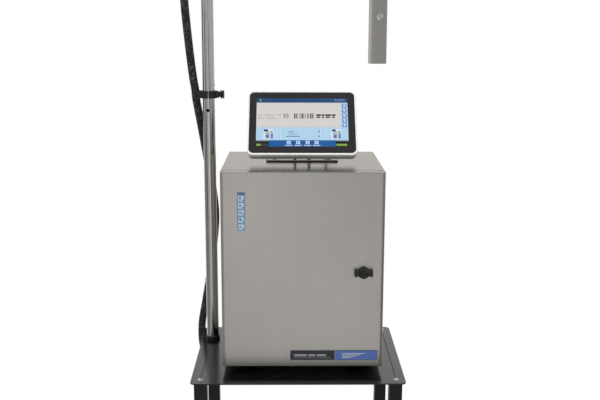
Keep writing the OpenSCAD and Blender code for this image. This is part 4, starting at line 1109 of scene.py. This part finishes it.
def hose_run(name, first, last, body):
    """One stretch of the hose; ripple and UVs count along the whole hose."""
    def radius(angle, i):
        u, v = STRANDS * angle / (2 * math.pi), (i + first) * HOSE_STEP / BRAID_PITCH
        ripple = abs(math.sin(math.pi * (u + v)) * math.sin(math.pi * (u - v)))
        return HOSE_R + (-0.00045 + 0.0006 * ripple)
    run = sweep(name, HOSE[first:last + 1], radius, HOSE_SEGS, "hose_braid", body,
                first == 0, last == LAST)
    sleeve = run.data.uv_layers.new(name="sleeve")
    for polygon in run.data.polygons:
        wraps = (len(polygon.vertices) == 4
                 and max(v % HOSE_SEGS for v in polygon.vertices) == HOSE_SEGS - 1)
        for loop, vertex in zip(polygon.loop_indices, polygon.vertices):
            i, k = divmod(vertex, HOSE_SEGS)
            if k == 0 and wraps:
                k = HOSE_SEGS
            sleeve.data[loop].uv = (STRANDS * (k / HOSE_SEGS),
                                    (i + first) * HOSE_STEP / BRAID_PITCH)
    return run


def first_after(start, test):
    return next(i for i, p in enumerate(hose_path) if i > start and test(p))


def umbilical():
    """Five runs, cut at given heights and a distance along the arm; lengths in metres."""
    arm_cut = 0.185    # along the arm
    third = len(HOSE) // 3
    low, carriage, swivel = (first_after(third, lambda p: p.z > z) for z in (1.376, 1.578, 1.662))
    arm = first_after(swivel + 20, lambda p: (p - MAST).dot(REACH) > arm_cut)
    lower = hose_run("umbilical_run_lower", 0, low, "root")
    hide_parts("umbilical_lower")
    cuts = (("slide", low, carriage), ("swing", carriage, swivel),
            ("reach", swivel, arm), ("head", arm, LAST))
    slide, swing, reach, head = (hose_run(f"umbilical_run_{tag}", first, last, None)
                                 for tag, first, last in cuts)
    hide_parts("umbilical_upper")
    at_low, at_carriage, at_swivel, at_arm = (hose_path[i] for i in (low, carriage, swivel, arm))
    tuple(at_low)
    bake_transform(slide)
    tuple(at_carriage)
    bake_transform(swing)
    tuple(at_swivel)
    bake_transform(reach)
    tuple(at_arm)
    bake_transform(head)


def band(name, index, width, thick, look, body="root", buckle=False):
    """A band round the hose, with a cable tie's square head if it has a buckle."""
    p, side, up = HOSE[index]
    at = frame_at(p, side.cross(up).normalized(), side)
    half, inner = width / 2, 9.9
    outer = inner + thick
    profile = [(inner - 0.2, -half), (outer - 0.2, -half), (outer, -half + 0.3),
               (outer, half - 0.3), (outer - 0.2, half), (inner - 0.2, half)]
    turned(name, profile + profile[:1], at, look, body, 40, sharp=30)
    if buckle:
        head_at = (at @ Matrix.Translation(mm(0, outer - 0.3, 0))
                   @ Matrix.Rotation(-math.pi / 2, 4, "X"))
        slab(name + "_head", rounded_rect(width + 1.6, width + 1.4, 0.8, 4), 0, 3.2, head_at,
             look, body, radius=0.6, steps=3, back=0.2)


umbilical()
band("hose_tie_pale", first_after(260, lambda p: p.z > 0.768), 4.6, 1.1, "pale_tie", buckle=True)
band("hose_boot_gland", 6, 9.0, 1.4, "black_rubber")
band("hose_boot_head", LAST - 13, 9.0, 1.4, "black_rubber", "head")

# ------------------------------------------------------------------ cooling fan

FAN = frame_at(mm(120, BACK_Y - 3.1, BASE_Z + 340), FORWARD)
BLADES = 7


def fan_blade(index):
    """Rings of one blade section from hub to tip: twisted, swept and cambered."""
    camber, half = 1.5, 10
    # (side of the blade, place along the chord)
    stations = ([(1, j / half) for j in range(half + 1)]
                + [(-1, 1 - j / half) for j in range(1, half)])
    rings = []
    for k in range(9):
        t = k / 8
        radius = 15.2 + 19.6 * t
        pitch = rad(50 - 18 * t)
        lead = rad(22 * t * t) + 2 * math.pi * index / BLADES
        chord = 13.5 + 5.0 * math.sin(math.pi * min(1, t * 0.75 + 0.1))
        if k == 8:
            chord *= 0.86
        section = []
        for side, u in stations:
            bow = 1 - (2 * u - 1) ** 2
            thick = 1.1 * math.sqrt(max(0.0, bow)) * (1 - 0.35 * t) * 0.8 + 0.10
            along = (u - 0.5) * chord
            off = camber * bow + side * thick / 2
            # the chord lies mostly round the axis, tipped by the pitch
            around = along * math.cos(pitch) - off * math.sin(pitch)
            z = 11 + along * math.sin(pitch) + off * math.cos(pitch)
            x, y = polar(radius, lead + around / radius)
            section.append(FAN @ mm(x, y, min(18.3, max(3.4, z))))
        rings.append(section)
    return rings


def fan():
    verts, faces = [], []
    for index in range(BLADES):
        blade_verts, blade_faces = loft(fan_blade(index))
        faces += [tuple(len(verts) + v for v in face) for face in blade_faces]
        verts += blade_verts
    blades = build("fan_blades", (verts, faces), "black_plastic", "fan", 40)
    hub = [(2, 3.6), (12, 3.2), (15.0, 3.4), (15.9, 4.2), (16.2, 5.4), (16.2, 18.0),
           (15.8, 18.8), (14.6, 19.0), (2, 19.0)]
    turned("fan_hub", hub, FAN, "black_plastic", "fan")
    turned("fan_shaft", [(1.2, 3.3), (2, 3.6), (2, 24.2), (1.4, 24.5), (0, 24.5)], FAN,
           "bright_steel", "fan", 24)
    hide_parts("fan_rotor")


fan()


# ------------------------------------------------------------------ behind the display

def display_cable():
    """Cable from the cabinet top to the display's back, with its gland and boot."""
    out = (DISPLAY.to_3x3() @ Vector((0, 0, -1))).normalized()
    back = DISPLAY @ mm(46, 62, -22.2)
    entry = mm(72, FRONT_Y + 262, TOP_Z)
    points = [entry + Vector((0, 0, 0.012)), entry + Vector((0, 0, 0.034)),
              entry + Vector((-0.002, -0.006, 0.060)), entry + Vector((-0.010, -0.030, 0.074)),
              back + out * 0.034 + Vector((0.004, 0, -0.004)),
              back + out * 0.012, back - out * 0.004]
    lead = cable("display_cable", points, 3.2, "cable_grey", lambda *p: Vector(p), None,
                 segs=16, smooth=10, step=0.003)
    tuple(points[0])
    tuple(points[-2])
    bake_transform(lead)
    nut = [(3.4, 0.1), (9, 0.1), (9.4, 0.5), (9.4, 5.0), (8.9, 5.5), (7.2, 5.6)]
    dome = [(7.4, 5.2), (7.6, 6.0), (7.6, 12.0), (7.1, 14.0), (5.4, 15.6), (4.0, 16.0),
            (3.5, 15.6), (3.3, 12)]
    turned("cable_gland_nut", nut, frame_at(entry), "black_plastic", segs=6, sharp=25)
    turned("cable_gland_dome", dome, frame_at(entry), "black_plastic", segs=48,
           shape=knurl(18, depth=0.03, low=6.2, high=11.8))
    boot = [(6.4, 0), (6.6, 0.6), (6.4, 1.8), (5.4, 2.4), (5.0, 7.0), (4.6, 10.5), (3.8, 11.2),
            (3.2, 11.0)]
    turned("cable_boot", boot, frame_at(back, out), "black_rubber", "display", 40,
           lambda a, z: 0.90 if 2.6 < z < 10 and int(z * 0.8) % 2 else 1.0)


def bracket_screws():
    profile = [(4.5, -0.2), (4.5, 0.1), (4.3, 1.2), (3.6, 2.2), (2.3, 2.6), (1.9, 2.3),
               (1.9, 1.2), (1.7, 1.0), (0, 1.0)]
    for k, (x, y) in enumerate(((-66, 163), (66, 163), (-66, 222), (66, 222))):
        turned(f"bracket_screw_{k}", profile, frame_at(mm(DISPLAY_X + x, FRONT_Y + y, TOP_Z + 5)),
               "bright_steel", segs=40)


display_cable()
bracket_screws()

# ------------------------------------------------------------------ behind the door

NECK_Y, NECK_Z = -28, BASE_Z + 184.5    # tops of the two tanks' necks
INK_X, SOLVENT_X = LEFT_X + 92, RIGHT_X - 98

TANK_TUBES = [  # name, neck x, radius, look, segments, points from the neck
    ("ink_draw_tube", INK_X, 3.0, "tube_black", 14, [
        (0, 0, 4), (0, 0, 22), (-6, 12, 37), (-22, 42, 40), (-33, 68, 37), (-36, 96, 36)]),
    ("ink_vent_tube", INK_X, 2.0, "tube_clear", 12, [
        (5, 8, -9), (7, 10, 12), (4, 22, 30), (-16, 54, 33), (-32, 78, 31), (-34, 96, 31)]),
    ("solvent_draw_tube", SOLVENT_X, 3.0, "tube_clear", 14, [
        (0, 0, 4), (0, 0, 22), (-12, 10, 38), (-60, 40, 47), (-130, 58, 46), (-190, 70, 40),
        (-214, 96, 34)]),
    ("solvent_vent_tube", SOLVENT_X, 2.0, "tube_blue", 12, [
        (5, 8, -9), (6, 12, 10), (-4, 24, 32), (-62, 52, 40), (-140, 66, 39), (-196, 76, 34),
        (-212, 96, 29)]),
]


def tank_tubes():
    swivel = [(2.4, -0.4), (6.2, 0.1), (6.6, 0.6), (6.6, 3.4), (6.0, 4.4), (4.4, 5.0), (4.2, 8.0),
              (4.6, 9.0), (4.6, 12.5), (3.9, 13.4), (2.6, 13.4)]
    for tag, x in (("ink", INK_X), ("solvent", SOLVENT_X)):
        turned(f"{tag}_swivel", swivel, frame_at(mm(x, NECK_Y, NECK_Z)), "valve_metal", segs=40)
    for name, x, radius, look, segs, points in TANK_TUBES:
        cable(name, points, radius, look, near(x, NECK_Y, NECK_Z), segs=segs)


def grommets():
    """Rubber rings in the partition's two holes."""
    profile = [(14.0, -2.6), (16.2, -2.6), (16.8, -2.0), (16.6, -0.6), (14.2, -0.2), (14.0, 0.1),
               (16.4, 0.4), (16.8, 1.4), (16.2, 2.2), (14.0, 2.6), (12.6, 2.2), (12.1, 1.0),
               (12.1, -1.4), (12.8, -2.4), (14.0, -2.6)]
    for name, x, z in (("pass_grommet", -120, 220), ("pass_grommet_upper", 130, 320)):
        turned(name, profile, frame_at(mm(x, 60, BASE_Z + z), FORWARD), "black_rubber", segs=48)


def board_wiring():
    """Three wires from each of five lower connectors to the upper grommet, and a thick lead."""
    looks = ("tube_red", "tube_black", "tube_blue", "cable_grey", "tube_clear")
    from_base = near(0, 0, BASE_Z)
    for c in range(5):
        for w in range(3):
            x = -97 + 26 * c + 5 * w
            y = 36 - 1.9 * ((c + w) % 3) - 0.8 * w
            z = 274 + 1.6 * ((c * 3 + w) % 4)
            points = [(x, 46, 289), (x, 43, 283), (x + 5, y + 3, z + 2), (x + 18, y, z),
                      (94 + 2 * w, y, z), (113 + w, y + 1, z + 6 + c),
                      (122 + 1.4 * w, y + 6, 300 + 1.5 * c), (125 + 1.8 * w, 48, 314 + 1.8 * c),
                      (126 + 1.8 * w, 68, 316 + 1.8 * c)]
            cable(f"board_wire_{c}{w}", points, 0.85, looks[(c + 2 * w) % 5], from_base,
                  segs=8, smooth=5, step=0.006)
    cable("display_lead", [(38, 47, 362), (38, 34, 364), (44, 26, 392), (58, 40, 430),
                           (70, 52, 446), (72, 54, 455)], 2.6, "cable_grey", from_base)


def door_ribs():
    for k, z in enumerate((120, 330)):
        slab(f"door_rib_{k}", rounded_rect(262, 22, 3, 4), 0, 8,
             frame_at(mm(10, FRONT_Y + 1.6, BASE_Z + z), (0, 1, 0)), "stainless", "door",
             radius=2.5, steps=4, back=0.2)


tank_tubes()
grommets()
board_wiring()
door_ribs()

# ------------------------------------------------------------------ inside the print head

HEAD_INNER_Z = 1541.0    # level that heights inside the head are measured from


def head_point(along, across, z):
    return arm_point(HEAD_REACH + along, HEAD_ACROSS + across, HEAD_INNER_Z + z)


def head_cable(name, radius, look, points, smooth=6, step=0.004):
    cable(name, points, radius, look, head_point, "head", 10, smooth, step)


def head_wiring():
    for k, (side, look) in enumerate(((-1, "tube_red"), (1, "tube_black"))):
        head_cable(f"plate_lead_{k}", 1.1, look, [
            (4 * side, 9, -90), (8 * side, 9, -88), (12.4 * side, 6, -78), (13.6 * side, 3, -58),
            (13.6 * side, 0, -36), (11 * side, 0, -20), (8 * side, 0, -13)])
    head_cable("charge_lead", 1.3, "cable_grey", [
        (6.6, 4, -74), (10, 2, -73), (12.6, -3, -62), (12.8, -7, -42), (8, -9, -22), (4, -8, -13)])
    head_cable("gutter_tube", 1.1, "tube_clear", [
        (0, 11, -113), (0, 15, -112), (0, 16.4, -107), (0, 16.5, -81), (0, 16.5, -41),
        (0, 16.4, -13)])
    fitting = [(1.2, -0.2), (2.2, 0.0), (2.3, 0.4), (2.3, 2.2), (1.9, 2.6), (1.3, 2.7)]
    for k, (x, look) in enumerate(((-5, "tube_black"), (0, "tube_clear"), (5, "tube_blue"))):
        turned(f"jet_fitting_{k}", fitting, frame_at(head_point(x, 2, -20), UP, REACH),
               "valve_metal", "head", 24)
        head_cable(f"jet_tube_{k}", 1.2, look, [(x, 2, -19), (x, 2, -16), (x * 0.9, 2.4, -12)],
                   smooth=5, step=0.002)


head_wiring()

# ------------------------------------------------------------------ floor and studio, in metres

FLOOR_R, FLOOR_SEGS = 14, 96

# Brightness by compass direction (direction, level): 0 is the front, -1 and 1 the back,
# negative to the left.
NEAR_GROUND = [(-1.0, 1.0), (-0.76, 0.9), (-0.62, 0.23), (-0.42, 0.23), (-0.16, 0.46),
               (-0.05, 0.62), (0.06, 0.68), (0.2, 0.34), (0.36, 0.13), (0.62, 0.13),
               (0.76, 0.9), (1.0, 1.0)]
ROOM = [(-1.0, 1.02), (-0.74, 1.02), (-0.62, 0.60), (-0.4, 0.60), (-0.2, 0.48), (0.0, 0.45),
        (0.11, 0.38), (0.22, 0.54), (0.36, 0.62), (0.62, 0.62), (0.74, 1.02), (1.0, 1.02)]


def surround(name, stops):
    """Node group giving the studio's brightness in the direction (x, y)."""
    tree = bpy.data.node_groups.new(name, "ShaderNodeTree")
    tree.interface.new_socket("x", in_out="INPUT", socket_type="NodeSocketFloat")
    tree.interface.new_socket("y", in_out="INPUT", socket_type="NodeSocketFloat")
    tree.interface.new_socket("level", in_out="OUTPUT", socket_type="NodeSocketColor")
    x, y = add_node(tree, "NodeGroupInput").outputs[:2]
    forward = add_node(tree, "ShaderNodeMath", {0: y, 1: -1.0}, operation="MULTIPLY")
    angle = add_node(tree, "ShaderNodeMath", {0: x, 1: forward.outputs[0]}, operation="ARCTAN2")
    turn = add_node(tree, "ShaderNodeMapRange", {
        0: angle.outputs[0], "From Min": -math.pi, "From Max": math.pi})
    ramp = add_node(tree, "ShaderNodeValToRGB", {0: turn.outputs[0]})
    fill_ramp(ramp, [((direction + 1) / 2, (level,) * 3) for direction, level in stops])
    add_node(tree, "NodeGroupOutput", {0: ramp.outputs[0]})
    return tree


def floor_disc():
    mesh = bpy.data.meshes.new("floor")
    rim = disc(0, 0, FLOOR_R, FLOOR_SEGS)
    mesh.from_pydata([(0, 0, 0)] + [(x, y, 0) for x, y in rim], [],
                     [(0, 1 + k, 1 + (k + 1) % FLOOR_SEGS) for k in range(FLOOR_SEGS)])
    floor = bpy.data.objects.new("floor", mesh)
    SCENE.collection.objects.link(floor)
    return mesh


def floor_material(near_ground):
    """Matt near the machine; further out it glows white, or as the surround in reflections."""
    m = Mat("pale_floor")
    x, y, _ = m.xyz(m.obj)
    distance = m.math("SQRT", m.math("ADD", m.math("MULTIPLY", x, x), m.math("MULTIPLY", y, y)))
    camera_ray = m.node("ShaderNodeLightPath").outputs["Is Camera Ray"]
    m.set(Base_Color=m.mix(m.noise(3, detail=3), (0.70, 0.70, 0.70), (0.74, 0.74, 0.74)),
          Roughness=0.7, Specular_IOR_Level=0.1)
    far = m.span(distance, 0.55, 1.15)
    level = m.node("ShaderNodeGroup", node_tree=near_ground, inputs={0: x, 1: y}).outputs[0]
    glow = m.node("ShaderNodeEmission", {0: m.mix(camera_ray, level, (1, 1, 1)), 1: 1.0})
    blend = m.node("ShaderNodeMixShader", {0: far, 1: m.bsdf.outputs[0], 2: glow.outputs[0]})
    m.tree.links.new(blend.outputs[0], m.out.inputs[0])
    return m.mat


def studio_world(room):
    """White to the camera; to all other rays the room's levels, even overhead."""
    overhead_level, camera_level = 0.5, 1.0
    world = bpy.data.worlds.new("studio")
    SCENE.world = world
    world.use_nodes = True
    tree = world.node_tree
    tree.nodes.clear()
    coords = add_node(tree, "ShaderNodeTexCoord")
    x, y, z = add_node(tree, "ShaderNodeSeparateXYZ", {0: coords.outputs["Generated"]}).outputs
    sides = add_node(tree, "ShaderNodeGroup", node_tree=room, inputs={0: x, 1: y})
    overhead = add_node(tree, "ShaderNodeMapRange", interpolation_type="SMOOTHSTEP",
                        inputs={0: z, "From Min": 0.55, "From Max": 0.9})
    level = add_node(tree, "ShaderNodeMix", data_type="FLOAT", inputs={
        0: overhead.outputs[0], 2: sides.outputs[0], 3: overhead_level})
    path = add_node(tree, "ShaderNodeLightPath")
    seen = add_node(tree, "ShaderNodeMix", data_type="FLOAT", inputs={
        0: path.outputs["Is Camera Ray"], 2: level.outputs[0], 3: camera_level})
    background = add_node(tree, "ShaderNodeBackground", {
        "Color": (1, 1, 1), "Strength": seen.outputs[0]})
    add_node(tree, "ShaderNodeOutputWorld", {0: background.outputs[0]})


def area_light(name, place_at, target, width, height, power):
    light = bpy.data.lights.new(name, "AREA")
    light.shape = "RECTANGLE"
    light.size, light.size_y, light.energy, light.color = width, height, power, (1, 1, 1)
    ob = bpy.data.objects.new(name, light)
    SCENE.collection.objects.link(ob)
    ob.location = place_at
    aim = Vector(target) - Vector(place_at)
    ob.rotation_euler = aim.to_track_quat("-Z", "Y").to_euler()
    return ob


def lights():
    top = area_light("top_softbox", (-0.2, -0.3, 3.4), target=(0, 0, 1.0),
                     width=2.4, height=2.0, power=40)
    top.visible_glossy = False
    area_light("strip", (-0.36, -2.35, 1.35), target=(-0.2, 0.0, 1.2),
               width=0.07, height=1.9, power=0.8)
    left = area_light("left_wall", (-2.6, 0.2, 1.5), target=(0, 0, 1.2),
                      width=1.6, height=2.2, power=14)
    left.visible_glossy = False


def camera():
    """In front of the machine, looking back and down: yaw to the right, pitch down, roll."""
    x, y, z = -0.016, -2.075, 1.524
    yaw, pitch, roll = rad(0.58), rad(11.42), rad(0.13)
    lens = bpy.data.cameras.new("camera")
    lens.sensor_width = 36.0
    lens.lens = 53.34
    lens.clip_end = 100
    ob = bpy.data.objects.new("camera", lens)
    SCENE.collection.objects.link(ob)
    look = Vector((math.sin(yaw) * math.cos(pitch), math.cos(yaw) * math.cos(pitch),
                   -math.sin(pitch)))
    right = Vector((math.cos(yaw), -math.sin(yaw), 0))
    up = right.cross(look)
    right, up = (right * math.cos(roll) + up * math.sin(roll),
                 up * math.cos(roll) - right * math.sin(roll))
    ob.matrix_world = Matrix(((right.x, up.x, -look.x, x), (right.y, up.y, -look.y, y),
                              (right.z, up.z, -look.z, z), (0, 0, 0, 1)))
    SCENE.camera = ob


floor_mesh = floor_disc()
near_ground_group = surround("near_ground", NEAR_GROUND)
room_group = surround("room", ROOM)
floor_mesh.materials.append(floor_material(near_ground_group))
studio_world(room_group)
lights()
camera()
SCENE.view_settings.view_transform = "Standard"
SCENE.view_settings.look = "None"
